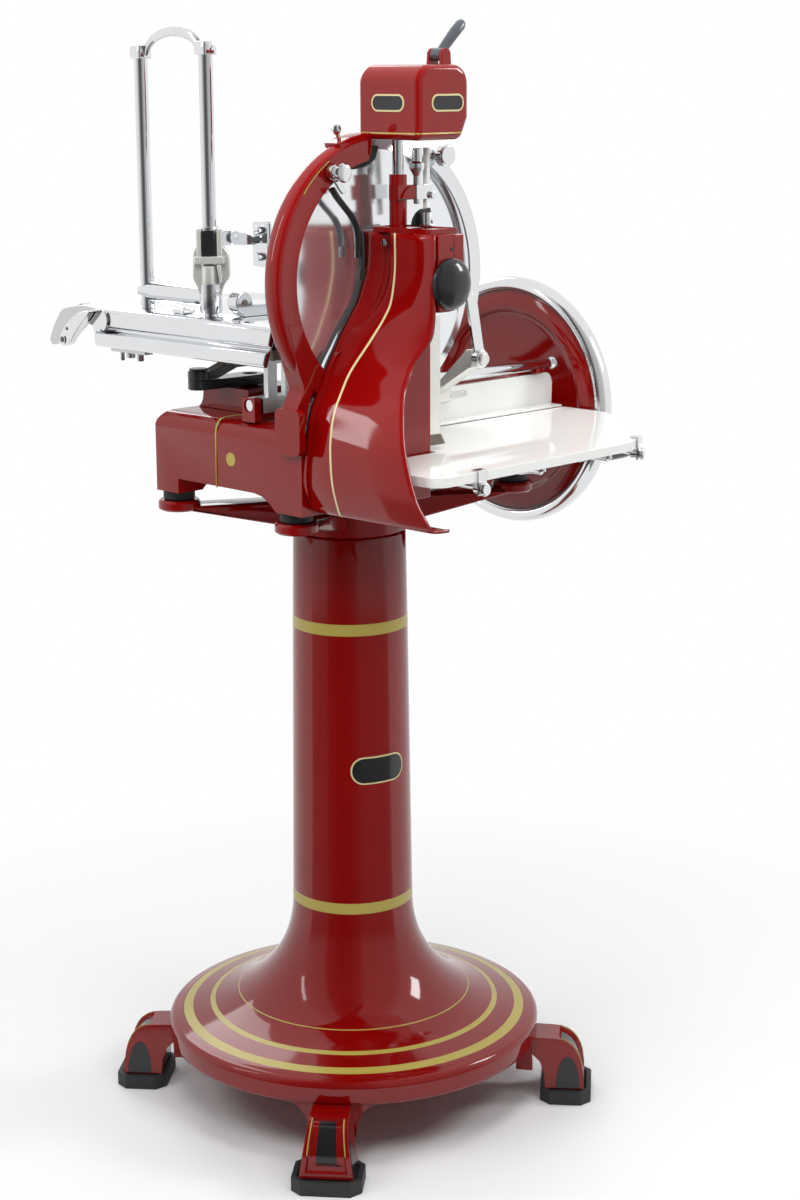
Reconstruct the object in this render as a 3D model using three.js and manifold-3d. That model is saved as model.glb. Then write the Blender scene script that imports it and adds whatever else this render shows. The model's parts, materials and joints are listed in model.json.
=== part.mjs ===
import * as THREE from 'three';
import { mergeVertices } from 'three/addons/utils/BufferGeometryUtils.js';
import Module from 'manifold-3d';

const wasm = await Module();
wasm.setup();

// A hand crank meat slicer on its pedestal, in millimetres.
// X runs along the flywheel's axis, towards the wheel. +Y is the meat carriage's side, Z is up.
// Inside the machine group the column's axis is X = 0, Y = 0, and the floor is Z = 0.

// Shared by all pieces
const seat = 0.3;
const overrun = 3;
const weld = 0.0005;
const facets = { rim: 44, large: 36, medium: 20, small: 14, tiny: 8, hex: 6, corner: 3, edge: 1, flare: 8, far: 6 };
const lap = 2;
const nick = 1;
const place = { columnX: -100.8, columnY: 16 };

// Stand
const column = { topZ: 819, topRadius: 77, upperZ: 684, upperRadius: 79.4, lowerZ: 289.5, lowerRadius: 84.6 };
const flare = { neckZ: 205, neckRadius: 87, throatZ: 158, throatRadius: 144, discZ: 138, discRadius: 204 };
const disc = { edgeZ: 124, edgeRadius: 257, rimTopZ: 116, rimRadius: 263, rimLowZ: 97, lowZ: 90, lowRadius: 258 };
const casting = { wall: 8, turnDegrees: -5.6, legs: 4, firstLegDegrees: 129.4 };
const leg = { rootRadius: 240, kneeReach: 50, toeReach: 91, heelReach: 36, topZ: 93, kneeDrop: 2 };
const knee = { radius: leg.rootRadius + leg.kneeReach, z: leg.topZ - leg.kneeDrop };
const toeRadius = leg.rootRadius + leg.toeReach;
const heelRadius = leg.rootRadius + leg.heelReach;
const legForm = { innerZ: 74, width: 72, topWidth: 50, bevel: 4, gussetWidth: 140, gussetLowZ: 40, gussetReach: 10 };
const shoe = { length: 72, width: 94, height: 20, corner: 14, bevel: 2, reach: 65, rim: 7, recess: 4 };
const shoeRadius = leg.rootRadius + shoe.reach;
const hub = { radius: 77.5, topZ: 866, boreRadius: 52, rimZ: 828 };
const arm = { reachX: 203, reachY: 115, width: 44, rootZ: 828, tipZ: 860, padRadius: 28, padZ: 862, padTopZ: 874 };
const foot = { radius: 21, bevel: 2, topZ: 887.7 };

// Base casting of the machine
const base = { minX: -230, maxX: 230, minY: -155, maxY: 128, bottomZ: 888, topZ: 996, corner: 18, round: 14 };
const deck = { minX: -122, rearY: -41, topZ: 942.7, archZ: 908, wall: 9 };
const archway = { sideFrontY: -88, sideRearY: 84, frontMinX: -170, frontMaxX: 190, rise: 22 };
const footPost = { half: 21 };
const shaft = { y: 49, z: 951, radius: 12, bore: 12.6, leftX: -152, rightX: 371 };
const bearing = { flangeRadius: 38, flangeThick: 10, radius: 26, endX: 348 };

// Front rail, rear rail, board and tray
const rail = { y: -50, z: 1017, radius: 8, leftX: -221, rightX: 352, ballRadius: 10, neckRadius: 6 };
const railBracket = { minX: -223, maxX: -212, minY: -62, maxY: -38, topZ: 1027 };
const railArm = { minX: 318, maxX: 332, rootX: 231, minY: -38, maxY: -22, lowZ: 930, capZ: 1007, thick: 12 };
const rearRail = { minX: -95, maxX: 300, minY: 128, maxY: 142, topZ: 1010 };
const board = { minX: -48, maxX: 364, backY: -41, thick: 5.5, lowZ: 957, topZ: 1003.5, corner: 14 };
const tray = { topZ: 955, thick: 12, skin: 3, lip: 4, bevel: 1.5, leftX: -190, frontY: -350, rightX: 364, round: 22 };
const trayForm = { backY: -69, notchX: -46, notchY: -211, cornerX: 183, cornerY: -342, tipX: 253, tipY: -305 };
const trayEnd = { bendY: -148 };
const trayFrame = { z: 936.5, radius: 5, frontY: -330, leftX: -170, rightX: 172, barX: 20, bar2X: 150 };
const clip = { x1: -113, edgeShare: 0.5, width: 16, thick: 2, hookDepth: 9, lowZ: 926, bossRadius: 6 };
const thumb = { radius: 3, headRadius: 9, headThick: 7, length: 16 };

// Knife, ring guard and knife housing
const knife = { x: -85, z: 1174, radius: 172.5, faceY: -139, backY: -146, bevelRadius: 158, edge: 0.7, hubRadius: 60 };
const ring = { radius: 181, innerRadius: 174.3, flangeRadius: 147, frontY: -155, backY: -128, skin: 4, bead: 6 };
const ringSpan = { startDegrees: 99, endDegrees: 236 };
const tab = { outerX: -241, minY: -164, maxY: -119, lowZ: 966, topZ: 1024, corner: 9, waistZ: 1050, waistX: -226 };
const tabKnee = { x: -212, z: 1042 };
const tabDegrees = { outer: 200, inner: 203, from: 206, to: 212 };
const ringKnob = { atDegrees: 110, ballRadius: 6.5, stemRadius: 3, length: 22, spread: 60 };
const neck = { minX: -109.2, maxX: -60, frontY: -269.5, backY: -155.3, topZ: 1234, lowZ: 1128, lowX: -98, turn: 26 };
const blockPart = { maxX: -52, frontY: -205, lowZ: 897, topZ: 1150 };
const cover = { topZ: 1234, height: 342, x: -115, depthX: 110, backY: -155.5, backLean: 10.5, sweepY: 89, skin: 5 };
// Down the cover: share of its height, then depth and lean of its back edge, then depth and sweep of its front edge
const coverShares = [
  [0, 0, 1, 0, 0], [0.13, 0, 0.8, 0, 0], [0.24, 0.11, 0, 0, 0], [0.29, 0.22, 0, 0, 0], [0.36, 0.38, 0, 0.045, 0],
  [0.41, 0.48, 0, 0.14, 0.04], [0.457, 0.58, 0, 0.264, 0.08], [0.5, 0.655, 0, 0.39, 0.02], [0.545, 0.727, 0, 0.51, -0.045],
  [0.628, 0.873, 0, 0.71, -0.265], [0.71, 0.936, 0, 0.864, -0.472], [0.795, 0.982, 0, 0.936, -0.647],
  [0.883, 1, 0, 0.973, -0.826], [0.955, 0.955, 0, 0.93, -0.97], [0.988, 0.91, 0, 0.88, -1], [1, 0.82, 0, 0.8, -1],
  [1.004, 0.64, 0, 0.62, -1],
];
const pocket = { minY: -197, maxY: -180, lowY: -163, lowZ: 1078 };
const lid = { minX: -114, maxX: -62, minY: -262, maxY: -163, thick: 4, corner: 4 };
const tubePart = { x: -80, y: -176, radius: 11, topZ: 1303, blockZ: 1272, blockTopZ: 1290, blockReach: 18 };
const cap = { radius: 31.5, height: 16, rim: 3, edgeDegrees: 15, crownDegrees: 90 };
const wiper = { minX: -49, maxX: -29, minY: -200, maxY: -194, lowZ: 962, topZ: 1128, footZ: 972, footMaxX: -20 };

// Sharpener on its post
const post = { radius: 7, bore: 7.4, headroom: 18, travel: 10 };
const box = { minX: -104, maxX: -14, minY: -235, maxY: -130, lowZ: 1345, height: 90, skin: 4, corner: 16, chamfer: 26 };
const boxTop = box.lowZ + box.height;
const boxNotch = { radius: 187, minY: -151, maxY: -134.6 };
const stone = { x: -55, stemY: -206, radius: 12, thick: 3.5, gap: 4.5, rise: 17, spindleRadius: 4 };
const sharpLever = { x: -30, rise: 12, y: -198, radius: 7, length: 58, degrees: 42, pivotRadius: 8, width: 16, pin: 3.5 };
const ear = { thick: 5, radius: 9, taper: 1 };
const setScrew = { x: -57, y: -186, radius: 4.5, nutRadius: 9, nutZ: 1318, nutThick: 12, lowZ: 1266 };
const gauge = { minX: -40, maxX: -34, minY: -190, maxY: -183, lowZ: 1252 };

// Chrome swing guard at the cutting edge, and the black deflector lever
const guard = { innerRadius: 161, outerRadius: 181, backY: -149, frontY: -153, lip: 5, startDegrees: -14, endDegrees: 60 };
const guardArm = { pivotX: 94, pivotZ: 1056, width: 20, bossRadius: 12, pinRadius: 5, frontY: -160 };
const guardKnob = { radius: 14, thick: 14, neckRadius: 7, atDegrees: 56, standRadius: 188, neck: 8 };
const guardFoot = { minX: 96, maxX: 146, lowZ: 984, topZ: 1002, thick: 4.5, stepY: -68, armWidth: 26, earX: 88 };
const deflector = { x: -174, z: 1306, clampRadius: 9, clampLength: 15, width: 9, thick: 6 };
const deflectorBend = { rootX: -170, rootZ: 1298, shoulderX: -148, shoulderZ: 1272, kneeX: -133, kneeZ: 1244, endX: -134, endZ: 1202 };

// Flywheel and drive
const wheel = { x: 387, radius: 182, rimInner: 150, rimHalf: 15, webX: 391, webThick: 7, hubRadius: 30, dish: 12 };
const wheelHub = { minX: 371.6, maxX: 404, boreRadius: 12.3 };
const handle = { y: -146, z: -67, boltRadius: 6, headRadius: 8, headThick: 3, gripMinX: 408, gripMaxX: 486 };
const gripShares = { swell: 0.35, full: 0.75, end: 0.95 };
const grip = { radius: 13.5, neckRadius: 10.5, bore: 6.6, pinRadius: 6 };
const driveGear = { radius: 18.5, x: -86, width: 20, teeth: 16, tooth: 3.4 };
const crown = { x: -132, radius: 46, lowZ: 970.5, thick: 12, teeth: 40, tooth: 3 };
const crankHousing = { minX: -175, maxX: -89, minY: 4, maxY: 94, topZ: 1027, flareOut: 10, bore: 13 };
const crank = { radius: 88, lowZ: 1028, topZ: 1040.7, hubRadius: 21, pinBossRadius: 14, pinRadius: 7, headRadius: 12 };
const crankshaft = { radius: 9.5, bore: 9.9, topZ: 1038 };
const rod = { length: 150, lowZ: 1041, thick: 11, width: 18, eyeRadius: 14, bore: 7.4, rise: 11, riseStart: 26, riseEnd: 58 };
const counter = { z: 918, radius: 8, rearY: 62, frontY: -200, gearRadius: 14, gearWidth: 18, teeth: 12 };
const sprocket = { y: -180, thick: 5, lowRadius: 17, highRadius: 13, tooth: 3, lowTeeth: 13, highTeeth: 10 };
const chain = { thick: 3.5, width: 7, clear: 0.5 };
const knifeShaft = { radius: 11, flangeRadius: 34, flangeThick: 8, frontY: -252 };

// Carriage, meat table and clamp
const sleeve = { minX: -209, maxX: -153, halfY: 12.5, lowZ: 1006, topZ: 1026, bore: 8.5 };
const upright = { minX: -200, maxX: -155, minY: -62.5, maxY: -54.5, gapWidth: 14 };
const farSleeve = { minX: 72, maxX: 112 };
const frame = { minX: -203, maxX: 118, minY: -76, maxY: 150, lowZ: 1074, topZ: 1086, border: 34, barHalf: 9 };
const slideBar = { x1: -170, x2: -4, topZ: 1097, minY: -92, maxY: 152 };
const roller = { x: 101, radius: 12, thick: 12, axleRadius: 4, legHalf: 11, fork: 5 };
const screw = { x: -87, z: 1092, radius: 5, groove: 1, pitch: 20, minY: -66, maxY: 196, wheelRadius: 20, wheelThick: 7 };
const screwWheel = { teeth: 20, tooth: 3, bore: 5.5, lugRadius: 11 };
const table = { minX: -246, maxX: 30, minY: -121, maxY: 229, topZ: 1124, plate: 9, apronZ: 1071, skin: 5, groove: 3 };
const tableShares = { beadTop: 0.5, bead: 0.56, beadLow: 0.62 };
const tableForm = { runnerHalf: 13, runnerMinY: -108, runnerMaxY: 214, rightZ: 1100, ear: 16, slant: 16 };
const endLever = { y: 249, z: 1110, minX: -244, maxX: -214, tipY: 318, tipZ: 1078, radius: 15, tipRadius: 9, pin: 5 };
const posts = { x: -212, y1: 30, y2: 158, radius: 9, height: 322, capHalf: 11, capHeight: 14, archRise: 36, band: 8 };
const archShares = { inset: 0.42, shoulder: 0.55, crown: 0.9 };
const slider = { lowRise: 3, height: 111, halfX: 16, halfY: 17, barRise: 13, barHeight: 21, barHalfX: 12, bore: 9.5, round: 6 };
const latch = { proud: 2, room: 3, width: 15, rise: 69, height: 38, thick: 6 };
const gripper = { rise: 98, boss: 9, armRadius: 6, armDrop: 4, armReachShare: 2.6, cheek: 4, half: 8 };
const gripPlate = { minX: -150, thick: 7, minY: -10, maxY: 18, drop: 39, rise: 19, corner: 4 };
const gripperPlace = { pivotX: -186, y: 18, pin: 3.5, earHalf: 4 };
const jaw = { minX: -216, maxX: -30, minY: -20, maxY: -2, barHeight: 15, noseX: -199, nose: 14, noseRise: 18 };

// Finishes
const finishes = {
  red: { color: 0xa81216, roughness: 0.18, metalness: 0 },
  chrome: { color: 0xd8dadc, roughness: 0.1, metalness: 1 },
  steel: { color: 0xb9bcc0, roughness: 0.25, metalness: 1 },
  mirror: { color: 0xe6e9ec, roughness: 0.04, metalness: 1 },
  cream: { color: 0xe9e6da, roughness: 0.3, metalness: 0 },
  black: { color: 0x17181a, roughness: 0.35, metalness: 0 },
  rubber: { color: 0x2a2b2c, roughness: 0.7, metalness: 0 },
  gear: { color: 0x6f6a5c, roughness: 0.4, metalness: 1 },
};
const material = {};
for (const [name, look] of Object.entries(finishes)) {
  material[name] = () => new THREE.MeshStandardMaterial(look);
}

const radians = THREE.MathUtils.degToRad;
const axes = {
  x: new THREE.Matrix4().makeBasis(
    new THREE.Vector3(0, 1, 0), new THREE.Vector3(0, 0, 1), new THREE.Vector3(1, 0, 0)),
  y: new THREE.Matrix4().makeBasis(
    new THREE.Vector3(1, 0, 0), new THREE.Vector3(0, 0, 1), new THREE.Vector3(0, -1, 0)),
  z: new THREE.Matrix4(),
};

// Closed indexed geometry: shared vertices, no empty triangles, faces outwards
function closed(geometry) {
  const bare = geometry.clone();
  bare.deleteAttribute('normal');
  bare.deleteAttribute('uv');
  const merged = mergeVertices(bare, weld);
  const points = merged.attributes.position;
  const index = Array.from(merged.index.array);
  const kept = [];
  for (let i = 0; i < index.length; i += 3) {
    const [a, b, c] = index.slice(i, i + 3);
    if (a !== b && b !== c && c !== a) kept.push([a, b, c]);
  }
  const at = (i) => new THREE.Vector3().fromBufferAttribute(points, i);
  let volume = 0;
  for (const [a, b, c] of kept) volume += at(a).dot(at(b).cross(at(c)));
  const ordered = volume < 0 ? kept.map(([a, b, c]) => [a, c, b]) : kept;
  merged.setIndex(ordered.flat());
  return merged;
}

function solid(geometry) {
  const shell = closed(geometry);
  return new wasm.Manifold(new wasm.Mesh({
    numProp: 3,
    vertProperties: new Float32Array(shell.attributes.position.array),
    triVerts: new Uint32Array(shell.index.array),
  }));
}

function geometryOf(body) {
  const mesh = body.getMesh();
  const geometry = new THREE.BufferGeometry();
  geometry.setAttribute('position', new THREE.BufferAttribute(new Float32Array(mesh.vertProperties), 3));
  geometry.setIndex(Array.from(mesh.triVerts));
  return geometry;
}

function join(...parts) {
  return geometryOf(parts.map(solid).reduce((a, b) => a.add(b)));
}

function cut(part, ...cutters) {
  return geometryOf(cutters.map(solid).reduce((a, b) => a.subtract(b), solid(part)));
}

// An outline drawn across an axis and drawn out along it. Its coordinates are
// Y,Z across X, then X,Z across Y, and X,Y across Z.
function prism(axis, outline, from, to, bevel = 0, steps = facets.corner) {
  const geometry = new THREE.ExtrudeGeometry(outline, {
    depth: to - from - 2 * bevel, bevelEnabled: bevel > 0, bevelThickness: bevel, bevelSize: bevel,
    bevelOffset: -bevel, bevelSegments: facets.edge, curveSegments: steps,
  });
  geometry.translate(0, 0, bevel);
  geometry.applyMatrix4(axes[axis]);
  if (axis === 'x') return geometry.translate(from, 0, 0);
  if (axis === 'y') return geometry.translate(0, to, 0);
  return geometry.translate(0, 0, from);
}

function polygon(points) {
  return new THREE.Shape(points.map(([a, b]) => new THREE.Vector2(a, b)));
}

function slab(minA, maxA, minB, maxB, radius = 0) {
  if (radius === 0) return polygon([[minA, minB], [maxA, minB], [maxA, maxB], [minA, maxB]]);
  const shape = new THREE.Shape();
  shape.absarc(maxA - radius, minB + radius, radius, -Math.PI / 2, 0);
  shape.absarc(maxA - radius, maxB - radius, radius, 0, Math.PI / 2);
  shape.absarc(minA + radius, maxB - radius, radius, Math.PI / 2, Math.PI);
  shape.absarc(minA + radius, minB + radius, radius, Math.PI, 3 * Math.PI / 2);
  return shape;
}

function block(minX, maxX, minY, maxY, minZ, maxZ) {
  const geometry = new THREE.BoxGeometry(maxX - minX, maxY - minY, maxZ - minZ);
  return geometry.translate((minX + maxX) / 2, (minY + maxY) / 2, (minZ + maxZ) / 2);
}

function upAlong(geometry, axis) {
  if (axis === 'x') geometry.rotateZ(-Math.PI / 2);
  if (axis === 'z') geometry.rotateX(Math.PI / 2);
  return geometry;
}

function moved(geometry, axis, a, b) {
  if (axis === 'x') return geometry.translate(0, a, b);
  if (axis === 'y') return geometry.translate(a, 0, b);
  return geometry.translate(a, b, 0);
}

function bar(axis, radius, from, to, a = 0, b = 0, sides = facets.small, endRadius = radius) {
  const geometry = upAlong(new THREE.CylinderGeometry(endRadius, radius, to - from, sides), axis);
  const middle = (from + to) / 2;
  const shift = { x: [middle, 0, 0], y: [0, middle, 0], z: [0, 0, middle] }[axis];
  return moved(geometry.translate(...shift), axis, a, b);
}

function turned(axis, profile, a = 0, b = 0, sides = facets.large) {
  const points = profile.map(([radius, along]) => new THREE.Vector2(radius, along));
  return moved(upAlong(new THREE.LatheGeometry(points, sides), axis), axis, a, b);
}

function ball(radius, x, y, z, sides = facets.tiny) {
  return new THREE.SphereGeometry(radius, sides, sides).translate(x, y, z);
}

function swept(section, curve, steps) {
  return new THREE.ExtrudeGeometry(section, { steps, bevelEnabled: false, extrudePath: curve,
    curveSegments: facets.corner });
}

function arcPoints(centreA, centreB, radius, fromDegrees, toDegrees, steps) {
  const points = [];
  for (let i = 0; i <= steps; i += 1) {
    const angle = radians(fromDegrees + (toDegrees - fromDegrees) * i / steps);
    points.push([centreA + radius * Math.cos(angle), centreB + radius * Math.sin(angle)]);
  }
  return points;
}

function gearOutline(rootRadius, tooth, count, boreRadius) {
  const shape = new THREE.Shape();
  const pitch = 2 * Math.PI / count;
  const flankShares = [[0, 0], [0.22, 0], [0.34, 1], [0.62, 1], [0.74, 0]];
  for (let i = 0; i < count; i += 1) {
    for (const [turn, rise] of flankShares) {
      const angle = (i + turn) * pitch;
      const radius = rootRadius + rise * tooth;
      const method = i === 0 && turn === 0 ? 'moveTo' : 'lineTo';
      shape[method](radius * Math.cos(angle), radius * Math.sin(angle));
    }
  }
  if (boreRadius > 0) shape.holes.push(new THREE.Path().absarc(0, 0, boreRadius, 0, 2 * Math.PI, true));
  return shape;
}

function link(axis, a1, b1, r1, a2, b2, r2, from, to, bevel = 0) {
  const turn = THREE.MathUtils.radToDeg(Math.atan2(b2 - b1, a2 - a1));
  const lean = THREE.MathUtils.radToDeg(Math.acos((r1 - r2) / Math.hypot(a2 - a1, b2 - b1)));
  const first = arcPoints(a1, b1, r1, turn + lean, turn + 360 - lean, facets.tiny);
  const second = arcPoints(a2, b2, r2, turn - lean, turn + lean, facets.tiny);
  return prism(axis, polygon([...first, ...second]), from, to, bevel);
}

// A body drawn through closed loops of equally many points, with flat ends
function lofted(loops) {
  const count = loops[0].length;
  const index = [];
  for (let i = 1; i < loops.length; i += 1) {
    for (let j = 0; j < count; j += 1) {
      const next = (j + 1) % count;
      const [a, b] = [(i - 1) * count + j, (i - 1) * count + next];
      index.push(a, b, a + count, b, b + count, a + count);
    }
  }
  const last = (loops.length - 1) * count;
  for (let j = 1; j < count - 1; j += 1) {
    index.push(0, j + 1, j);
    index.push(last, last + j, last + j + 1);
  }
  const geometry = new THREE.BufferGeometry();
  geometry.setAttribute('position', new THREE.Float32BufferAttribute(loops.flat(2), 3));
  geometry.setIndex(index);
  return geometry;
}

// Narrows a body across Y from its foot to its top
function tapered(geometry, lowZ, topZ, share) {
  const points = geometry.attributes.position;
  for (let i = 0; i < points.count; i += 1) {
    const rise = THREE.MathUtils.clamp((points.getZ(i) - lowZ) / (topZ - lowZ), 0, 1);
    points.setY(i, points.getY(i) * (1 + (share - 1) * rise));
  }
  return geometry;
}

const group = new THREE.Group();
const machine = new THREE.Group();
machine.position.set(place.columnX, place.columnY, 0);
group.add(machine);

function piece(parent, name, look, geometry) {
  const mesh = new THREE.Mesh(closed(geometry), material[look]());
  mesh.name = name;
  parent.add(mesh);
  return mesh;
}

// Pedestal: turned column with a flared foot, and four legs cast on

function flareCurve(offset) {
  const curve = new THREE.CubicBezierCurve(
    new THREE.Vector2(column.lowerRadius - offset, column.lowerZ),
    new THREE.Vector2(flare.neckRadius - offset, flare.neckZ),
    new THREE.Vector2(flare.throatRadius - offset, flare.throatZ - offset),
    new THREE.Vector2(flare.discRadius, flare.discZ - offset));
  return curve.getPoints(facets.flare).map((p) => [p.x, p.y]);
}

function pedestalShell() {
  const wall = casting.wall;
  const outer = [
    [column.topRadius, column.topZ], [column.upperRadius, column.upperZ], ...flareCurve(0),
    [disc.edgeRadius, disc.edgeZ], [disc.rimRadius, disc.rimTopZ], [disc.rimRadius, disc.rimLowZ],
    [disc.lowRadius, disc.lowZ],
  ];
  const inner = [
    [disc.lowRadius - wall, disc.lowZ], [disc.edgeRadius - wall, disc.edgeZ - wall],
    ...flareCurve(wall).reverse(),
    [column.upperRadius - wall, column.upperZ], [column.topRadius - wall, column.topZ],
    [column.topRadius, column.topZ],
  ];
  return turned('z', [...outer, ...inner]);
}

function legCasting() {
  const side = new THREE.Shape();
  side.moveTo(leg.rootRadius, legForm.innerZ);
  side.lineTo(leg.rootRadius, leg.topZ);
  side.lineTo(knee.radius, knee.z);
  side.quadraticCurveTo(toeRadius, knee.z, toeRadius, shoe.height + seat);
  side.lineTo(heelRadius, shoe.height + seat);
  side.quadraticCurveTo(heelRadius, legForm.innerZ, leg.rootRadius, legForm.innerZ);
  const limb = tapered(prism('y', side, -legForm.width / 2, legForm.width / 2, legForm.bevel), shoe.height, leg.topZ,
    legForm.topWidth / legForm.width);
  const gusset = new THREE.Shape();
  gusset.moveTo(-legForm.gussetWidth / 2, disc.lowZ + seat);
  gusset.quadraticCurveTo(-legForm.topWidth / 2, disc.lowZ, -legForm.topWidth / 2, legForm.gussetLowZ);
  gusset.lineTo(legForm.topWidth / 2, legForm.gussetLowZ);
  gusset.quadraticCurveTo(legForm.topWidth / 2, disc.lowZ, legForm.gussetWidth / 2, disc.lowZ + seat);
  const gussetInner = leg.rootRadius + legForm.gussetReach;
  const web = prism('x', gusset, gussetInner, gussetInner + 4 * casting.wall);
  return join(limb, web);
}

const stand = new THREE.Group();
stand.rotation.z = radians(casting.turnDegrees);
machine.add(stand);

function makeStand() {
  const floor = block(-toeRadius, toeRadius, -toeRadius, toeRadius, 0, shoe.height + seat);
  const parts = [pedestalShell()];
  for (let i = 0; i < casting.legs; i += 1) {
    const angle = radians(casting.firstLegDegrees - 90 + 360 * i / casting.legs) - stand.rotation.z;
    parts.push(cut(legCasting(), floor).rotateZ(angle));
    const outline = new THREE.Shape();
    const long = shoe.length / 2;
    const wide = shoe.width / 2;
    outline.moveTo(long, wide - shoe.corner);
    for (const [a, b] of [[1, 1], [-1, 1], [-1, -1], [1, -1]]) {
      const near = [a * long, b * (wide - shoe.corner)];
      const far = [a * (long - shoe.corner), b * wide];
      const order = a * b > 0 ? [near, far] : [far, near];
      for (const [x, y] of order) outline.lineTo(x, y);
    }
    const recess = block(-long + shoe.rim, toeRadius - shoeRadius + seat, -wide + shoe.rim, wide - shoe.rim,
      shoe.height - shoe.recess, shoe.height + overrun);
    const dish = cut(prism('z', outline, 0, shoe.height, shoe.bevel), recess);
    const lift = block(heelRadius - shoeRadius + shoe.rim, toeRadius - shoeRadius - shoe.rim,
      -legForm.width / 2 + shoe.rim, legForm.width / 2 - shoe.rim, shoe.height - shoe.recess - shoe.bevel, shoe.height);
    const rubber = piece(stand, `rubber_shoe_${i + 1}`, 'rubber', join(dish, lift));
    rubber.position.set(shoeRadius * Math.cos(angle), shoeRadius * Math.sin(angle), 0);
    rubber.rotation.z = angle;
  }
  piece(stand, 'pedestal', 'red', join(...parts));
}

const corners = [[1, 1], [-1, 1], [-1, -1], [1, -1]];

function makeStandHead() {
  const reach = Math.hypot(arm.reachX, arm.reachY);
  const parts = [bar('z', hub.radius, column.topZ + seat, hub.topZ, 0, 0, facets.large)];
  const side = polygon([
    [0, arm.rootZ], [hub.radius, arm.rootZ], [reach, arm.padZ], [reach, hub.topZ], [0, hub.topZ],
  ]);
  for (const [signX, signY] of corners) {
    const angle = Math.atan2(signY * arm.reachY, signX * arm.reachX);
    parts.push(prism('y', side, -arm.width / 2, arm.width / 2).rotateZ(angle));
    const x = signX * arm.reachX;
    const y = signY * arm.reachY;
    parts.push(bar('z', arm.padRadius, arm.tipZ, arm.padTopZ, x, y, facets.medium));
    const rubber = piece(machine, `machine_foot_${corners.findIndex((c) => c[0] === signX && c[1] === signY) + 1}`,
      'rubber', bar('z', foot.radius, arm.padTopZ + seat, foot.topZ, 0, 0, facets.medium));
    rubber.position.set(x, y, 0);
  }
  const bore = bar('z', hub.boreRadius, column.topZ - overrun, hub.rimZ, 0, 0, facets.large);
  piece(machine, 'stand_head', 'red', cut(join(...parts), bore));
}

// Base casting: a shell open below, with archways between its feet

function makeBase() {
  const high = [
    [base.minX, base.minY], [deck.minX, base.minY], [deck.minX, deck.rearY], [base.maxX, deck.rearY],
    [base.maxX, base.maxY], [base.minX, base.maxY],
  ];
  const low = slab(base.minX, base.maxX, base.minY, base.maxY, base.corner);
  const under = base.bottomZ - 2 * base.round;
  const upper = prism('z', polygon(high), under, base.topZ, base.round);
  const lower = prism('z', low, under, deck.topZ, deck.wall);
  const wall = deck.wall;
  const cavity = [
    block(base.minX + wall, deck.minX - wall, base.minY + wall, base.maxY - wall, under, base.topZ - wall),
    block(base.minX + wall, base.maxX - wall, deck.rearY + wall, base.maxY - wall, under, base.topZ - wall),
    block(base.minX + wall, base.maxX - wall, base.minY + wall, base.maxY - wall, under, deck.topZ - wall),
  ];
  const shell = cut(join(upper, lower), ...cavity,
    block(base.minX - overrun, base.maxX + overrun, base.minY - overrun, base.maxY + overrun,
      under - overrun, base.bottomZ));
  const feet = [];
  for (const [signX, signY] of corners) {
    const x = signX * (arm.reachX - overrun);
    const y = signY > 0 ? base.maxY - wall / 2 - footPost.half : -arm.reachY;
    feet.push(block(x - footPost.half, x + footPost.half, y - footPost.half, y + footPost.half,
      base.bottomZ, deck.topZ - wall / 2));
  }
  const archSide = (minA, maxA) => {
    const shape = new THREE.Shape();
    shape.moveTo(minA - archway.rise, base.bottomZ - overrun);
    shape.quadraticCurveTo(minA, deck.archZ, minA + archway.rise, deck.archZ);
    shape.lineTo(maxA, deck.archZ);
    shape.lineTo(maxA, base.bottomZ - overrun);
    return shape;
  };
  const arches = [
    prism('x', archSide(archway.sideFrontY, archway.sideRearY), base.minX - overrun, base.maxX + overrun),
    prism('y', archSide(archway.frontMinX, archway.frontMaxX), base.minY - overrun, base.maxY + overrun),
  ];
  const bores = [
    bar('x', shaft.bore, base.maxX - base.round - wall, base.maxX + overrun, shaft.y, shaft.z),
    bar('z', crankHousing.bore, base.topZ - 2 * wall, base.topZ + overrun, crown.x, shaft.y),
    bar('y', counter.radius + seat, base.minY - overrun, base.minY + 2 * wall, knife.x, counter.z),
  ];
  piece(machine, 'base_frame', 'red', cut(join(shell, ...feet), ...arches, ...bores));
}

function makeShaftBearing() {
  const start = base.maxX + seat;
  const profile = [
    [shaft.bore, start], [bearing.flangeRadius, start], [bearing.flangeRadius, start + bearing.flangeThick],
    [bearing.radius + bearing.flangeThick / 2, start + bearing.flangeThick],
    [bearing.radius, start + 2 * bearing.flangeThick], [bearing.radius, bearing.endX],
    [shaft.bore, bearing.endX], [shaft.bore, start],
  ];
  piece(machine, 'shaft_bearing', 'red', turned('x', profile, shaft.y, shaft.z, facets.medium));
}

function makeCrankHousing() {
  const low = base.topZ + seat;
  const out = crankHousing.flareOut;
  const side = new THREE.Shape();
  side.moveTo(crankHousing.minY - out, low);
  side.lineTo(crankHousing.maxY + out, low);
  side.quadraticCurveTo(crankHousing.maxY, low + out / 2, crankHousing.maxY, low + 2 * out);
  side.lineTo(crankHousing.maxY, crankHousing.topZ);
  side.lineTo(crankHousing.minY, crankHousing.topZ);
  side.lineTo(crankHousing.minY, low + 2 * out);
  side.quadraticCurveTo(crankHousing.minY, low + out / 2, crankHousing.minY - out, low);
  const body = prism('x', side, crankHousing.minX, crankHousing.maxX);
  const bore = bar('z', crankshaft.bore, low - overrun, crankHousing.topZ + overrun, crown.x, shaft.y);
  piece(machine, 'crank_housing', 'red', cut(body, bore));
}

// Rails, board and tray

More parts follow.
